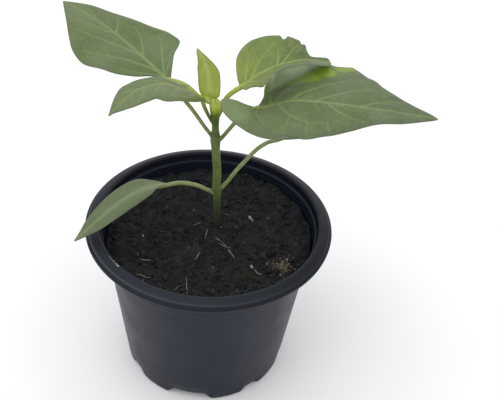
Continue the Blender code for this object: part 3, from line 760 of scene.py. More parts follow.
def leaf_material(name, base, tip, vein, under, fresh=(0.0, 0.0, 0.0), pale=(0.0, 0.0, 0.0), haze=0.4):
    """Leaf tissue: a colour from base to tip, mottled, with veins, a fine net and a lighter underside, and
    patches of painted sheen and of painted light and shade where a leaf lists them.
    """
    n = Nodes(name)
    place = n.place()
    middle = tuple(0.5 * (a + b) for a, b in zip(base, tip))
    body = n.ramp(n.number("level"), [(0.0, base), (0.3, middle), (0.75, tip)])
    blotch = n.noise(place, 9.0, 3.0)
    darker = n.mix(n.fade(blotch, 0.38, 0.68, 0.45), body, tuple(0.7 * c for c in tip))
    cloud = n.fade(n.noise(place, 14.0, 2.0), 0.45, 0.70, haze)
    hazy = n.mix(cloud, darker, (0.140, 0.170, 0.115))
    bordered = n.mix(n.math("MULTIPLY", n.number("border"), haze), hazy, (0.088, 0.098, 0.064))
    # Painted sheen, and painted light where a leaf above shades the blade.
    with_painted_sheen = n.mix(n.number("pale"), bordered, pale)
    # Painted light and shade on the large right leaf: saturated green where the leaf above blocks the sheen;
    # on the small left leaf a brighter band of tissue.
    with_tissue_and_no_sheen = n.mix(n.number("fresh"), with_painted_sheen, fresh)
    patch = n.noise(place, 2.2, 4.0)
    speckled = n.mix(n.fade(patch, 0.42, 0.75, 0.22), with_tissue_and_no_sheen, vein)
    net = n.ramp(n.cells(place, 1.5), [(0.0, 1.0), (0.10, 0.0)])
    netted = n.mix(n.math("MULTIPLY", net, 0.10), speckled, vein)
    fine = n.number("vein")
    veined = n.mix(fine, netted, vein)
    rimmed = n.mix(n.math("MULTIPLY", n.number("rim"), 0.5), veined, (0.085, 0.080, 0.062))
    colour = n.mix(n.number("under"), rimmed, n.mix(fine, under, vein))
    roughness = n.ramp(patch, [(0.3, 0.42), (0.75, 0.58)])
    height = n.math("ADD", n.math("MULTIPLY", net, -0.5), n.noise(place, 0.5, 2.0))
    n.bump(height, 0.10, 0.6)
    return n.done(colour, roughness, Specular_IOR_Level=0.36, Specular_Tint=(0.88, 0.86, 1.0, 1.0),
                  Subsurface_Weight=0.15, Subsurface_Radius=TISSUE_RADIUS, Subsurface_Scale=TISSUE_SCALE)


def stem_material(name, tones):
    """Stem tissue: its colour runs through a few tones from one end to the other, with long streaks."""
    n = Nodes(name)
    place = n.place()
    body = n.ramp(n.number("level"), tones)
    streak = n.noise(n.stretched(place, (1.0, 1.0, 0.12)), 0.55, 2.0)
    streaked = n.mix(n.fade(streak, 0.40, 0.7, 0.6), body, (1.75, 1.6, 1.8), "MULTIPLY")
    blotch = n.noise(place, 3.0, 3.0)
    colour = n.mix(n.fade(blotch, 0.45, 0.75, 0.8), streaked, (0.62, 0.64, 0.58), "MULTIPLY")
    roughness = n.ramp(streak, [(0.3, 0.38), (0.7, 0.55)])
    n.bump(streak, 0.08, 0.5)
    return n.done(colour, roughness, Specular_IOR_Level=0.28, Subsurface_Weight=0.12,
                  Subsurface_Radius=TISSUE_RADIUS, Subsurface_Scale=TISSUE_SCALE)


def soil_material():
    """Dark moist peat: nearly black painted shade in hollows, brown crumbs, a few mossy and pale specks."""
    n = Nodes("soil_peat")
    place = n.place()
    crumb = n.noise(place, 1.6, 5.0, 0.7)
    dark = n.ramp(crumb, [(0.3, (0.0042, 0.0046, 0.0066)), (0.55, (0.0110, 0.0116, 0.0152)),
                          (0.80, (0.034, 0.032, 0.030))])
    # Painted shade: nearly black patches standing for the shade in hollows between clods.
    hollow = n.ramp(n.noise(place, 4.5, 3.0), [(0.36, 0.75), (0.50, 0.0)])
    hollow_painted_shade = n.mix(hollow, dark, (0.0030, 0.0035, 0.0060))
    moss = n.fade(n.noise(place, 8.0, 4.0), 0.52, 0.68, 0.65)
    mossy = n.mix(moss, hollow_painted_shade, (0.026, 0.023, 0.013))
    speck = n.ramp(n.cells(place, 2.6, "F1"), [(0.04, 1.0), (0.10, 0.0)])
    colour = n.mix(n.math("MULTIPLY", speck, 0.25), mossy, (0.12, 0.10, 0.07))
    n.bump(n.noise(place, 0.45, 4.0, 0.7), 0.35, 0.9)
    return n.done(colour, n.ramp(crumb, [(0.3, 0.75), (0.7, 0.98)]), Specular_IOR_Level=0.25)


def bit_material(name, dark, pale):
    """Loose bits in the soil; each has its own tint between dark and pale."""
    n = Nodes(name)
    place = n.place()
    body = n.mix(n.number("tint"), dark, pale)
    fibre = n.noise(place, 0.5, 3.0, 0.7)
    colour = n.mix(n.fade(fibre, 0.35, 0.7, 0.55), body, tuple(0.5 * c for c in dark))
    n.bump(fibre, 0.15, 0.8)
    return n.done(colour, n.ramp(fibre, [(0.3, 0.7), (0.7, 0.95)]), Specular_IOR_Level=0.3)


def rim_painted_light_and_shade(n, place, body):
    """The rim's painted light and shade: greyer in front and darker to the right, painted shade at the back
    and on the outer lip, and a painted highlight along its crease, strongest at the front left.
    """
    axes = n.add("ShaderNodeSeparateXYZ")
    n.link(place, axes.inputs[0])
    across = n.math("ADD", n.math("DIVIDE", axes.outputs["X"], 2 * RIM_RADIUS), 0.5)
    ahead = n.math("SUBTRACT", 0.5, n.math("DIVIDE", axes.outputs["Y"], 2 * RIM_RADIUS))
    upper = n.fade(n.math("DIVIDE", axes.outputs["Z"], POT_HEIGHT), 0.955, 0.985)
    # Painted light: greyer in front, darker towards the right; the back of the rim gets painted shade.
    rim_side_light = n.ramp(across, [(0.0, (0.0085, 0.0098, 0.0140)), (0.45, (0.0158, 0.0178, 0.0225)),
                               (0.70, (0.0130, 0.0148, 0.0190)), (0.92, (0.0025, 0.0030, 0.0052))])
    front = n.fade(ahead, 0.25, 0.75)
    rimmed = n.mix(upper, body, n.mix(front, (0.0030, 0.0034, 0.0070), rim_side_light))
    reach = n.add("ShaderNodeVectorMath", operation="LENGTH")
    n.link(n.stretched(place, (1.0, 1.0, 0.0)), reach.inputs[0])
    out = n.math("DIVIDE", reach.outputs["Value"], RIM_RADIUS)
    # Painted shade on the outer lip.
    lip_painted_shade = n.mix(n.fade(out, 0.976, 0.982, 0.85), rimmed, (0.0045, 0.0052, 0.0075))
    # Painted highlight along the crease, strongest at the front left.
    painted_highlight_line = n.ramp(out, [(0.961, 0.0), (0.968, 1.0), (0.974, 1.0), (0.978, 0.0)])
    side = n.math("MULTIPLY", n.ramp(across, [(0.15, 0.9), (0.60, 0.45), (0.85, 0.05)]), front)
    return n.mix(n.math("MULTIPLY", painted_highlight_line, side), lip_painted_shade, (0.045, 0.048, 0.058))


def plastic_material():
    """Black moulded plastic with a satin face, faint flow marks, dust, and painted light and shade on the
    rim.
    """
    n = Nodes("pot_plastic")
    place = n.place()
    cloud = n.noise(place, 14.0, 4.0)
    body = n.mix(cloud, (0.0056, 0.0072, 0.0150), (0.0090, 0.0111, 0.0215))
    # Painted light and shade on the rim.
    with_painted_rim_light = rim_painted_light_and_shade(n, place, body)
    dust = n.fade(n.noise(place, 0.7, 4.0, 0.75), 0.62, 0.80, 0.22)
    dusty = n.mix(dust, with_painted_rim_light, (0.045, 0.047, 0.055))
    grain = n.noise(place, 0.35, 2.0)
    roughness = n.ramp(cloud, [(0.25, 0.36), (0.8, 0.50)])
    n.bump(n.math("ADD", n.math("MULTIPLY", grain, 0.5), n.math("MULTIPLY", cloud, 2.0)), 0.05, 0.35)
    return n.done(dusty, roughness, Specular_IOR_Level=0.22, Specular_Tint=(0.78, 0.86, 1.0, 1.0))


def floor_material():
    """A pale, even studio floor."""
    n = Nodes("studio_floor")
    tone = n.noise(n.place(), 60.0, 2.0)
    colour = n.mix(tone, (0.90, 0.90, 0.90), (0.93, 0.93, 0.93))
    return n.done(colour, Roughness=0.9, Specular_IOR_Level=0.1)


# Plant

SEED_LEAF_LOOK = dict(
    base=(0.122, 0.166, 0.074), tip=(0.094, 0.134, 0.047), vein=(0.195, 0.240, 0.115),
    under=(0.14, 0.18, 0.085))
LEAF_LOOKS = {
    "leaf_left_large": dict(
        base=(0.094, 0.148, 0.036), tip=(0.104, 0.150, 0.045), vein=(0.225, 0.285, 0.100),
        # Its pale colour is painted sheen.
        under=(0.15, 0.20, 0.075), pale=(0.138, 0.178, 0.082), haze=0.22),
    "leaf_right_large": dict(
        base=(0.118, 0.163, 0.060), tip=(0.094, 0.134, 0.046), vein=(0.225, 0.285, 0.105),
        # The saturated green is painted light and shade under the leaf above; the pale colour is painted
        # light lifting that leaf's shadow, and painted sheen.
        under=(0.15, 0.20, 0.075), fresh=(0.200, 0.315, 0.014), pale=(0.285, 0.385, 0.162)),
    "leaf_left_small": dict(
        base=(0.130, 0.180, 0.042), tip=(0.118, 0.160, 0.057), vein=(0.235, 0.300, 0.095),
        # The bright green is a band of tissue; the pale colour is painted sheen.
        under=(0.17, 0.22, 0.08), fresh=(0.310, 0.370, 0.028), pale=(0.140, 0.180, 0.080), haze=0.25),
    "leaf_right_upper": dict(
        base=(0.225, 0.300, 0.034), tip=(0.090, 0.134, 0.039), vein=(0.320, 0.390, 0.105),
        under=(0.17, 0.22, 0.08), haze=0.25),
    "leaf_young": dict(
        base=(0.380, 0.458, 0.045), tip=(0.285, 0.362, 0.062), vein=(0.440, 0.505, 0.140),
        under=(0.28, 0.34, 0.08), haze=0.0),
    "cotyledon_left": SEED_LEAF_LOOK,
    "cotyledon_right": SEED_LEAF_LOOK,
}

# Stalk tones: at the stem, half way, and where the stalk meets the blade
GREEN_STALK = ((0.095, 0.140, 0.035), (0.175, 0.225, 0.070), (0.190, 0.250, 0.070))
PALE_STALK = ((0.145, 0.185, 0.068), (0.215, 0.260, 0.100), (0.190, 0.240, 0.098))
YELLOW_STALK = ((0.150, 0.205, 0.025), (0.250, 0.320, 0.035), (0.290, 0.360, 0.055))
OLIVE_STALK = ((0.066, 0.096, 0.016), (0.105, 0.150, 0.020), (0.270, 0.340, 0.050))
BROWN_STALK = ((0.140, 0.165, 0.048), (0.205, 0.238, 0.082), (0.205, 0.262, 0.078))
STALK_TONES = {
    "leaf_left_large": BROWN_STALK, "leaf_left_small": OLIVE_STALK,
    "leaf_right_upper": YELLOW_STALK, "leaf_young": YELLOW_STALK,
    "cotyledon_left": PALE_STALK, "cotyledon_right": PALE_STALK,
}

# The stem's tones from the soil to the growing point
STEM_TONES = [(0.02, (0.022, 0.023, 0.018)), (0.13, (0.040, 0.048, 0.026)), (0.26, (0.075, 0.103, 0.032)),
              (0.42, (0.106, 0.148, 0.035)), (0.64, (0.119, 0.168, 0.040)), (0.73, (0.088, 0.126, 0.038)),
              (0.80, (0.076, 0.116, 0.019)), (0.865, (0.044, 0.078, 0.006)), (0.900, (0.095, 0.145, 0.009)),
              (0.94, (0.290, 0.360, 0.024)), (0.98, (0.400, 0.480, 0.055))]
STEM_SPAN = (76.0, 151.0)


def build_leaves():
    """Each blade fused in one piece with its stalk, standing for its solid."""
    for name, own in LEAVES.items():
        leaf = dict(PLAIN_LEAF, **own)
        blade = leaf_shape(leaf)
        stalk = stalk_shape(leaf)
        points, faces = join_shapes([blade[:2], stalk[:2]])
        look = leaf_material(name + "_tissue", **LEAF_LOOKS[name])
        tones = STALK_TONES.get(name, GREEN_STALK)
        skin = stem_material(name + "_stalk_skin", list(zip((0.05, 0.5, 1.0), tones)))
        piece = add_piece(name + "_look", points, faces, [look, skin], name)
        for field, values in blade[2].items():
            rest = stalk[2] if field == "level" else np.zeros(len(stalk[0]))
            set_number(piece, field, np.concatenate([values, rest]))
        index = np.zeros(len(faces), np.int32)
        index[len(blade[1]):] = 1
        piece.data.polygons.foreach_set("material_index", index)
        weld(piece)


# Leaflets of the bud, not yet unfolded: rib, half width
BUD_LEAFLETS = [
    ([(-0.6, 6.6, 148.3), (-2.4, 6.3, 150.1), (-4.3, 6.4, 151.5), (-6.4, 6.8, 152.4)], 1.8),
    ([(0.3, 5.4, 146.2), (0.0, 4.7, 148.0), (-0.5, 4.8, 149.9), (-1.1, 5.6, 151.8)], 2.1),
    ([(2.7, 5.9, 147.4), (2.1, 5.1, 149.2), (1.3, 4.9, 150.9), (0.5, 5.3, 152.2)], 1.3),
    ([(0.6, 7.4, 147.8), (-1.2, 7.8, 149.8), (-2.9, 8.0, 151.6), (-4.6, 8.2, 152.9)], 1.9),
    ([(0.8, 5.8, 148.2), (1.0, 5.0, 149.8), (1.1, 4.9, 151.3), (1.0, 5.4, 152.8)], 0.8),
]


def build_bud():
    """The growing tip: five small folded leaflets packed around the end of the stem."""
    shapes = []
    for rib, wide in BUD_LEAFLETS:
        length = arc_length(smooth_path(rib, 24))[-1]
        margin = [(0.12 * length, 0.6 * wide), (0.35 * length, wide), (0.65 * length, 0.75 * wide),
                  (0.88 * length, 0.3 * wide)]
        leaflet = dict(PLAIN_LEAF, up=(0, -1, 0.6), rib=rib, left=margin, right=margin, relief=0.2,
                       fold=((-35, -35, -30), (-35, -35, -30)), curl=(-8.0, -8.0), midrib=0.5)
        shape = leaf_shape(leaflet, 0.16, 0.7)
        shape[2]["rim"][:] = 0.0
        shapes.append(shape)
    points, faces = join_shapes([shape[:2] for shape in shapes])
    look = leaf_material("bud_tissue", base=(0.370, 0.450, 0.040), tip=(0.360, 0.435, 0.055),
                         vein=(0.460, 0.520, 0.150), under=(0.34, 0.42, 0.07), haze=0.0)
    piece = add_piece("shoot_tip", points, faces, [look])
    for field in shapes[0][2]:
        set_number(piece, field, np.concatenate([shape[2][field] for shape in shapes]))
    weld(piece)


def weld(piece):
    """Merge the points that fall together at the two ends of a blade."""
    shell = bmesh.new()
    shell.from_mesh(piece.data)
    bmesh.ops.remove_doubles(shell, verts=shell.verts, dist=0.002 * MM)
    shell.to_mesh(piece.data)
    shell.free()


def build_stem():
    """The stem: faintly angular, swollen at its nodes, darker where it enters the soil."""
    line = even_path(smooth_path(STEM, 12), 0.35)
    end = line[-1] + np.array([[-0.02, 0, 0.35, -0.25], [-0.05, 0, 0.7, -0.8], [-0.07, 0, 0.9, -1.5]])
    line = np.vstack([line, end])

    def section(turn, f):
        return 1 + 0.045 * np.cos(5 * turn + 2.0 * f) + 0.02 * np.sin(11 * turn + 9 * f)

    points, faces = tube(line[:, :3], line[:, 3], 40, section, up=(0.0, -1.0, 0.0))
    skin = stem_material("stem_skin", STEM_TONES)
    piece = add_piece("stem_look", points, faces, [skin], "stem")
    low, high = STEM_SPAN
    set_number(piece, "level", (points[:, 2] - low) / (high - low))


# Soil

def soil_height(x, y):
    """Height of the soil: a low mound at the stem, clods, crumbs, and a bank along the wall."""
    mound = MOUND_HEIGHT * np.exp(-((x - STEM_FOOT[0]) ** 2 + (y - STEM_FOOT[1]) ** 2) / MOUND_SPREAD)
    swell = 0.7 * np.sin(x / 6.1 + 0.8) * np.cos(y / 5.3 + 0.4) + 0.5 * np.sin(x / 3.7 - y / 4.9)
    spots = np.stack([x, y, np.zeros(len(x))], -1)
    clods = 1.4 * lumps(spots + 40.0, 6.5, 3) + 0.32 * lumps(spots + 7.0, 1.7, 2)
    grains = np.array([noise.voronoi(Vector(p) / 1.9)[0][0] for p in spots])
    heap = 0.45 * (1 - np.clip(grains, 0, 1))
    edge = smoothstep((np.hypot(x, y) - 45.0) / 5.0)
    dip = edge * (0.8 + 1.1 * lumps(spots + 90.0, 5.0, 2))
    back = smoothstep((y + 0.35 * x + 5.0) / 30.0)
    bank = smoothstep((np.hypot(x, y) - BANK_START) / BANK_WIDTH) * (BANK_HEIGHT + BANK_EXTRA_BEHIND * back)
    return SOIL_LEVEL - 1.1 + mound + swell + clods + heap + bank - dip


def build_soil_bed():
    """The soil as one body: a rough top on the shape that fills the pot."""
    turn = full_turn(SOIL_SIDES)
    rings = []
    for radius in np.arange(0.5, SOIL_EDGE + 0.1, SOIL_RING_STEP):
        x, y = around(radius, turn)
        rings.append(np.stack([x, y, soil_height(x, y)], -1))
    wall = [(50.75, 74.2), (48.85, 72.4), (FOOT_RADIUS - 0.5, NOTCH_REACH), (FOOT_RADIUS - 1.05, 5.1),
            (FOOT_RADIUS - 1.5, 2.4), (FOOT_RADIUS - 2.4, 1.5), (35.0, 1.5), (GROOVE_END, 1.5), (20.0, 1.5),
            (GROOVE_START - 1, 1.5)]
    rings += turned_rings(wall, turn)
    faces = [face[::-1] for face in tube_faces(len(rings), SOIL_SIDES)]
    add_piece("soil_look", np.vstack(rings), faces, [soil_material()], "soil", sharp=80)


def crumb_template(level):
    """Points and triangles of a small round body."""
    shell = bmesh.new()
    bmesh.ops.create_icosphere(shell, subdivisions=level, radius=1.0)
    points = np.array([v.co for v in shell.verts])
    faces = [[v.index for v in f.verts] for f in shell.faces]
    shell.free()
    return points, faces


def turned(rng):
    """A random rotation."""
    a, b, c = rng.uniform(0, 2 * np.pi, 3)
    return np.array(Matrix.Rotation(a, 3, "X") @ Matrix.Rotation(b, 3, "Y") @ Matrix.Rotation(c, 3, "Z"))


def leaned(rng):
    """A random turn about the upright axis and a slight lean, for flakes that lie flat."""
    lean = Matrix.Rotation(rng.normal(0, 0.35), 3, "X")
    return np.array(lean @ Matrix.Rotation(rng.uniform(0, 6.3), 3, "Z"))


def turned_to(degrees):
    """A turn about the upright axis."""
    return np.array(Matrix.Rotation(np.radians(degrees), 3, "Z"))


def scatter(rng, count, spread):
    """Places on the soil, evenly strewn out to the wall or around one spot."""
    if spread is None:
        radius = SCATTER_EDGE * np.sqrt(rng.uniform(0, 1, count))
        return around(radius, rng.uniform(0, 2 * np.pi, count))
    x, y, reach = spread
    return rng.normal(x, reach, count), rng.normal(y, reach, count)


def bits(rng, count, sizes, flatness, level=1, spread=None, sink=0.25):
    """Irregular bits lying on the soil: points, faces and tint of each."""
    template, triangles = crumb_template(level)
    x, y = scatter(rng, count, spread)
    keep = np.minimum(1.0, BIT_EDGE / np.maximum(np.hypot(x, y), 1e-6))
    x, y = x * keep, y * keep
    ground = soil_height(x, y)
    out = []
    for k in range(count):
        size = rng.uniform(*sizes) * rng.uniform(0.6, 1.0)
        stretch = np.array([1.0, rng.uniform(0.55, 1.0), flatness * rng.uniform(0.6, 1.2)])
        rough = rng.uniform(0.72, 1.18, len(template))[:, None]
        turn = turned(rng)
        if flatness < 0.6:
            turn = leaned(rng)
        body = (template * rough * stretch * size) @ turn.T
        lift = -body[:, 2].min() * (1 - 2 * sink)
        out.append((body + (x[k], y[k], ground[k] + lift - 0.1), triangles, rng.uniform(0, 1)))
    return out


def stuck_bits(rng, count):
    """Bits of soil stuck to the inside of the pot, above the bank at the back."""
    template, triangles = crumb_template(1)
    out = []
    for _ in range(count):
        angle = rng.uniform(15.0, 150.0)
        height = rng.uniform(79.5, 84.3)
        size = rng.uniform(0.25, 0.9)
        rough = rng.uniform(0.75, 1.15, len(template))[:, None]
        body = template * rough * (0.3 * size, size, 0.7 * size) @ turned_to(angle).T
        x, y = around(WALL_RADIUS + WALL_SLOPE * (height - WALL_START), np.radians(angle))
        out.append((body + (x, y, height), triangles, rng.uniform(0.3, 1.0)))
    return out


def strew(name, some, material, sharp=60):
    """One piece of many loose bits: points, faces and tint of each."""
    points, faces = join_shapes([bit[:2] for bit in some])
    piece = add_piece(name, points, faces, [material], sharp=sharp)
    set_number(piece, "tint", np.concatenate([np.full(len(bit[0]), bit[2]) for bit in some]))


def strand(rng, start, end, radius, sag):
    """One thin fibre lying on the soil between two spots, a little crooked."""
    start, end = np.asarray(start, float), np.asarray(end, float)
    length = np.linalg.norm(end - start)
    across = np.array([end[1] - start[1], start[0] - end[0]]) / length
    spots = [start + (end - start) * f + across * length * sag * rng.normal(0, 1) * np.sin(np.pi * f)
             for f in (0, 0.25, 0.5, 0.75, 1)]
    flat = smooth_path(spots, 4)
    ground = soil_height(flat[:, 0], flat[:, 1])
    smooth = np.convolve(np.pad(ground, 3, "edge"), np.ones(7) / 7, "valid")
    path = np.column_stack([flat, np.maximum(smooth, ground - 0.1) + radius + 0.1])
    radii = radius * (0.35 + 0.65 * np.sin(np.pi * np.linspace(0.08, 0.92, len(path))))
    return tube(path, radii, 6)


# How many of each are strewn
SMALL_CRUMBS = 2200
LARGE_CRUMBS = 170
STUCK_CRUMBS = 46
CLUMPED_FLAKES = 240
LOOSE_FLAKES = 150
FAINT_FIBRES = 260

# Fibres that stand out: start, end and radius
FIBRES = [
    ((-1.0, 2.6), (-2.0, -4.2), 0.24), ((-4.2, -12.7), (-6.3, -19.1), 0.36),
    ((-32.7, -18.8), (-27.2, -18.5), 0.32), ((-32.9, -31.0), (-26.0, -31.2), 0.26),
    ((-15.6, -38.1), (-9.9, -32.6), 0.20), ((-10.1, -29.3), (-9.0, -40.9), 0.20),
    ((8.6, -9.0), (12.4, -15.4), 0.30), ((3.0, -4.6), (5.2, -6.0), 0.34),
    ((5.6, -5.6), (8.6, -7.6), 0.30), ((6.4, 18.1), (9.7, 15.7), 0.28),
    ((22.0, -23.0), (25.4, -26.8), 0.42), ((-9.0, 16.5), (-8.4, 20.7), 0.18),
    ((-8.4, 6.2), (-4.4, 7.4), 0.22), ((4.4, -7.6), (10.6, -8.4), 0.20),
]

# Pale grains that stand out: x, y and radius. The clump of bark: x, y and reach. The specks on
# the rim: angle and radius.
GRAINS = [
    (20.6, 13.7, 1.25), (21.8, 12.4, 0.7), (-32.8, -2.5, 0.7), (20.7, -21.8, 1.0),
    (-33.9, -15.6, 0.4), (13.8, -37.8, 0.45), (5.9, 5.2, 0.45), (38.2, -15.8, 0.8),
    (33.2, -18.4, 0.6), (-29.4, -33.5, 0.4), (30.2, 14.8, 0.45), (2.2, -21.5, 0.35),
]
BARK_SPOT = (35.4, -20.8, 2.7)
RIM_SPECKS = [(-144.0, 0.35), (-142.3, 0.3), (-140.6, 0.4), (-138.6, 0.45), (-137.0, 0.75)]


def build_crumbs(rng):
    """Small and large crumbs and the bits stuck to the wall, most of them dark."""
    dark = bit_material("soil_crumb", (0.0066, 0.0070, 0.0096), (0.030, 0.028, 0.026))
    some = bits(rng, SMALL_CRUMBS, (0.25, 1.0), 0.8)
    some += bits(rng, LARGE_CRUMBS, (1.0, 2.6), 0.7, level=2, sink=0.35)
    some += stuck_bits(rng, STUCK_CRUMBS)
    strew("soil_crumbs", [(points, faces, tint ** 2) for points, faces, tint in some], dark, sharp=40)


def build_bark(rng):
    """Bark flakes: a clump in one spot and duller loose ones all over."""
    bark = bit_material("bark_flake", (0.045, 0.033, 0.022), (0.21, 0.165, 0.11))
    clump = bits(rng, CLUMPED_FLAKES, (0.3, 0.95), 0.35, spread=BARK_SPOT, sink=0.1)
    loose = bits(rng, LOOSE_FLAKES, (0.2, 0.7), 0.28)
    duller = [(points, faces, 0.5 * tint) for points, faces, tint in loose]
    strew("bark_flakes", clump + duller, bark, sharp=40)


def build_fibres(rng):
    """The fibres that stand out, and many faint ones."""
    straw = bit_material("fibre_straw", (0.036, 0.032, 0.026), (0.27, 0.25, 0.205))
    strands = [strand(rng, *fibre, sag=0.03) for fibre in FIBRES]
    some = [(*shape, rng.uniform(0.6, 1.0)) for shape in strands]
    for centre in zip(*scatter(rng, FAINT_FIBRES, None)):
        turn = rng.uniform(0, 2 * np.pi)
        step = np.array(around(rng.uniform(1.0, 3.6), turn))
        ends = np.array([centre - step, centre + step])
        if np.hypot(*ends.T).max() < FIBRE_EDGE:
            shape = strand(rng, *ends, rng.uniform(0.05, 0.12), sag=0.1)
            some.append((*shape, rng.uniform(0.0, 0.6) ** 2))
    strew("soil_fibres", some, straw)


def build_grains(rng):
    """Pale grains on the soil and a few specks on the rim."""
    pale = bit_material("pale_grain", (0.22, 0.22, 0.21), (0.42, 0.42, 0.40))
    template, triangles = crumb_template(2)
    some = []
    for x, y, size in GRAINS:
        rough = 1 + 0.32 * lumps(template * 1.4 + x, 1.0, 2)
        body = template * rough[:, None] * (size, size * 0.8, size * 0.6) @ turned(rng).T
        ground = soil_height(np.array([x]), np.array([y]))[0]
        some.append((body + (x, y, ground + 0.45 * size), triangles, 0.5))
    for angle, size in RIM_SPECKS:
        body = template * (1.3 * size, 0.6 * size, 0.35 * size) @ turned_to(angle + 90.0).T
        x, y = around(RIM_CREST, np.radians(angle))
        some.append((body + (x, y, POT_HEIGHT - 0.05), triangles, 0.5))
    strew("pale_grains", some, pale)


def build_soil_bits():
    """All that is strewn on the soil, drawn one after another from one seed."""
    rng = np.random.default_rng(SEED)
    build_crumbs(rng)
    build_bark(rng)
    build_fibres(rng)
    build_grains(rng)


# Pot

def notch_bend(radius, height, angle):
    """Lift and draw in the foot at each notch, fading out up the wall and towards the middle."""
    steps = (np.degrees(angle) - FIRST_NOTCH) * NOTCHES / 360.0
    number = np.round(steps)
    off = abs(steps - number) * 360.0 / NOTCHES
    wide = number % 2 == 0
    depth = smoothstep((np.where(wide, WIDE_NOTCH, NARROW_NOTCH) - off) / 6.0)
    depth = depth * smoothstep((radius - GROOVE_START) / (GROOVE_END - GROOVE_START))
    fade = np.clip((NOTCH_REACH - height) / (NOTCH_REACH - FLOOR_THICKNESS), 0, 1)
    lift = np.where(wide, WIDE_RISE, NARROW_RISE) * depth * fade
    recess = NOTCH_RECESS * depth * smoothstep(fade) * smoothstep((radius - 35.0) / 6.0)
    return radius - recess, height + lift


def turned_rings(profile, turn):
    """Rings around the pot's axis, one for each radius and height, bent at the notches."""
    rings = []
    for radius, height in profile:
        r, z = notch_bend(np.full(len(turn), radius), np.full(len(turn), height), turn)
        rings.append(np.stack([*around(r, turn), z], -1))
    return rings


def round_corners(corners):
    """A profile with each corner rounded: radius, height and rounding of every corner."""
    out = []
    for k, (x, y, rounding) in enumerate(corners):
        here = np.array([x, y], float)
        if rounding == 0 or k in (0, len(corners) - 1):
            out.append(here)
            continue
        before = np.array(corners[k - 1][:2], float) - here
        after = np.array(corners[k + 1][:2], float) - here
        reach = min(rounding, 0.45 * np.linalg.norm(before), 0.45 * np.linalg.norm(after))
        a = here + before / np.linalg.norm(before) * reach
        b = here + after / np.linalg.norm(after) * reach
        for f in np.linspace(0, 1, 5):
            out.append((1 - f) ** 2 * a + 2 * f * (1 - f) * here + f * f * b)
    return np.array(out)


def pot_profile():
    """Outside from the middle of the floor up, over the rim, and down the inside."""
    foot = FOOT_RADIUS
    outside = [
        (0.5, 0, 0), (GROOVE_START - 1, 0, 0), (20, 0, 0), (GROOVE_END, 0, 0), (35, 0, 0),
        (foot - 1.2, 0, 1.0), (foot - 0.1, 1.2, 1.0), (foot + 0.3, 5, 0), (foot + 0.9, NOTCH_REACH, 2.0),
        (50.3, STEP_HEIGHT, 0.5), (52.1, STEP_HEIGHT + 1.0, 0.7), (53.4, 87.3, 0.5), (58.9, 86.9, 0.3),
        (59.2, 86.0, 0.25), (59.8, 86.1, 0.3), (RIM_RADIUS, 87.3, 0.8)]
    inside = [
        (59.5, 87.8, 0.5), (58.75, 88.0, 0.2), (58.45, 88.7, 0.35), (54.6, POT_HEIGHT - 0.1, 1.0),
        (53.2, 89.3, 0.9), (52.7, 85.6, 0.4), (51.9, 85.0, 0.4), (51.1, 74.0, 0.5), (49.2, 72.4, 0.5),
        (foot - 0.15, NOTCH_REACH, 1.0), (foot - 0.7, 5, 0), (foot - 1.2, 2.2, 0.6),
        (foot - 2.2, FLOOR_THICKNESS, 0.6), (35, FLOOR_THICKNESS, 0), (GROOVE_END, FLOOR_THICKNESS, 0),
        (20, FLOOR_THICKNESS, 0), (GROOVE_START - 1, FLOOR_THICKNESS, 0), (0.5, FLOOR_THICKNESS, 0)]
    return round_corners(outside + inside)


def build_pot():
    """The pot turned from its profile with rounded edges, notched foot and drain holes."""
    turn = np.radians(FIRST_NOTCH) + full_turn(POT_SIDES)
    rings = turned_rings(pot_profile(), turn)
    faces = tube_faces(len(rings), POT_SIDES)
    points = np.vstack(rings)
    pot = add_piece("pot_look", points, faces, [plastic_material()], "pot", sharp=50)
    for k in range(NOTCHES):
        cut_hole(pot, *around(DRAIN_AT, np.radians(FIRST_NOTCH + k * 360.0 / NOTCHES)))
    pot.data.shade_smooth()
    pot.data.set_sharp_from_angle(angle=np.radians(50))


def cut_hole(pot, x, y):
    """Cut one drain hole through the floor of the pot."""
    points, faces = tube([(x, y, -2), (x, y, 12)], DRAIN_RADIUS, 32, up=(1.0, 0.0, 0.0))
    drill = new_object("drain", new_mesh("drain", points, faces))
    step = pot.modifiers.new("drain", "BOOLEAN")
    step.operation = "DIFFERENCE"
    step.solver = "EXACT"
    step.object = drill
    graph = bpy.context.evaluated_depsgraph_get()
    cut = bpy.data.meshes.new_from_object(pot.evaluated_get(graph))
    pot.modifiers.clear()
    pot.data = cut
    bpy.data.objects.remove(drill, do_unlink=True)


# Studio

# The view of the photograph, worked out from the rim, the foot and the soil edge
CAMERA_BACK = 248.8
CAMERA_UP = 299.0
CAMERA_YAW = 4.31
CAMERA_PITCH = 38.52
CAMERA_ROLL = 5.03
FOCAL_PIXELS = 663.2
IMAGE_WIDTH = 500
FLOOR_RADIUS = 1500.0
FLOOR_LEVEL = -0.05
LIGHT_SIZE = 0.9


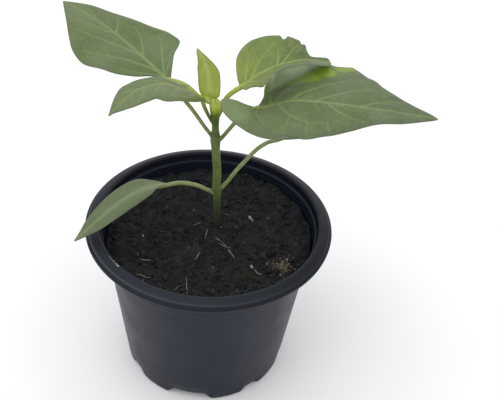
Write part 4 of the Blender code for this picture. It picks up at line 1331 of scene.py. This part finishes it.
def build_camera():
    """The camera, where the photograph was taken from."""
    yaw, pitch, roll = np.radians([CAMERA_YAW, CAMERA_PITCH, CAMERA_ROLL])
    ahead = np.array([np.sin(yaw) * np.cos(pitch), np.cos(yaw) * np.cos(pitch), -np.sin(pitch)])
    level = np.array([np.cos(yaw), -np.sin(yaw), 0.0])
    upward = np.cross(level, ahead)
    right = level * np.cos(roll) + upward * np.sin(roll)
    up = upward * np.cos(roll) - level * np.sin(roll)
    place = np.array([0.0, -CAMERA_BACK, CAMERA_UP]) * MM
    data = bpy.data.cameras.new("camera")
    data.sensor_width = 36.0
    data.lens = FOCAL_PIXELS * data.sensor_width / IMAGE_WIDTH
    data.clip_start = 0.01
    data.clip_end = 20.0
    camera = new_object("camera", data)
    rows = [[right[i], up[i], -ahead[i], place[i]] for i in range(3)] + [[0, 0, 0, 1]]
    camera.matrix_world = Matrix(rows)
    bpy.context.scene.camera = camera


def add_light(name, place, watts):
    """A soft square light aimed at the plant."""
    data = bpy.data.lights.new(name, "AREA")
    data.shape = "SQUARE"
    data.size = LIGHT_SIZE
    data.energy = watts
    light = new_object(name, data)
    light.location = place
    aim = Vector((0.0, 0.0, 0.1)) - light.location
    light.rotation_euler = aim.to_track_quat("-Z", "Y").to_euler()


def build_floor():
    """A wide round floor just below the pot."""
    turn = full_turn(64)
    points = np.stack([*around(FLOOR_RADIUS, turn), np.full(len(turn), FLOOR_LEVEL)], -1)
    floor = new_object("floor", new_mesh("floor", points, [list(range(len(turn)))]))
    floor.data.materials.append(floor_material())


def build_studio():
    """Pale floor, white surroundings and three soft lights from above."""
    build_floor()
    world = bpy.data.worlds.new("studio")
    bpy.context.scene.world = world
    world.use_nodes = True
    surroundings = world.node_tree.nodes["Background"]
    surroundings.inputs["Color"].default_value = (0.97, 0.98, 1.0, 1.0)
    surroundings.inputs["Strength"].default_value = 0.95
    add_light("key_light", (-0.5, -0.15, 0.95), 3.0)
    add_light("fill_light", (0.75, -0.5, 0.7), 1.0)
    add_light("back_light", (0.1, 0.8, 0.8), 1.2)
    bpy.context.scene.view_settings.view_transform = "Standard"


build_pot()
build_soil_bed()
build_soil_bits()
build_stem()
build_leaves()
build_bud()
build_studio()
build_camera()
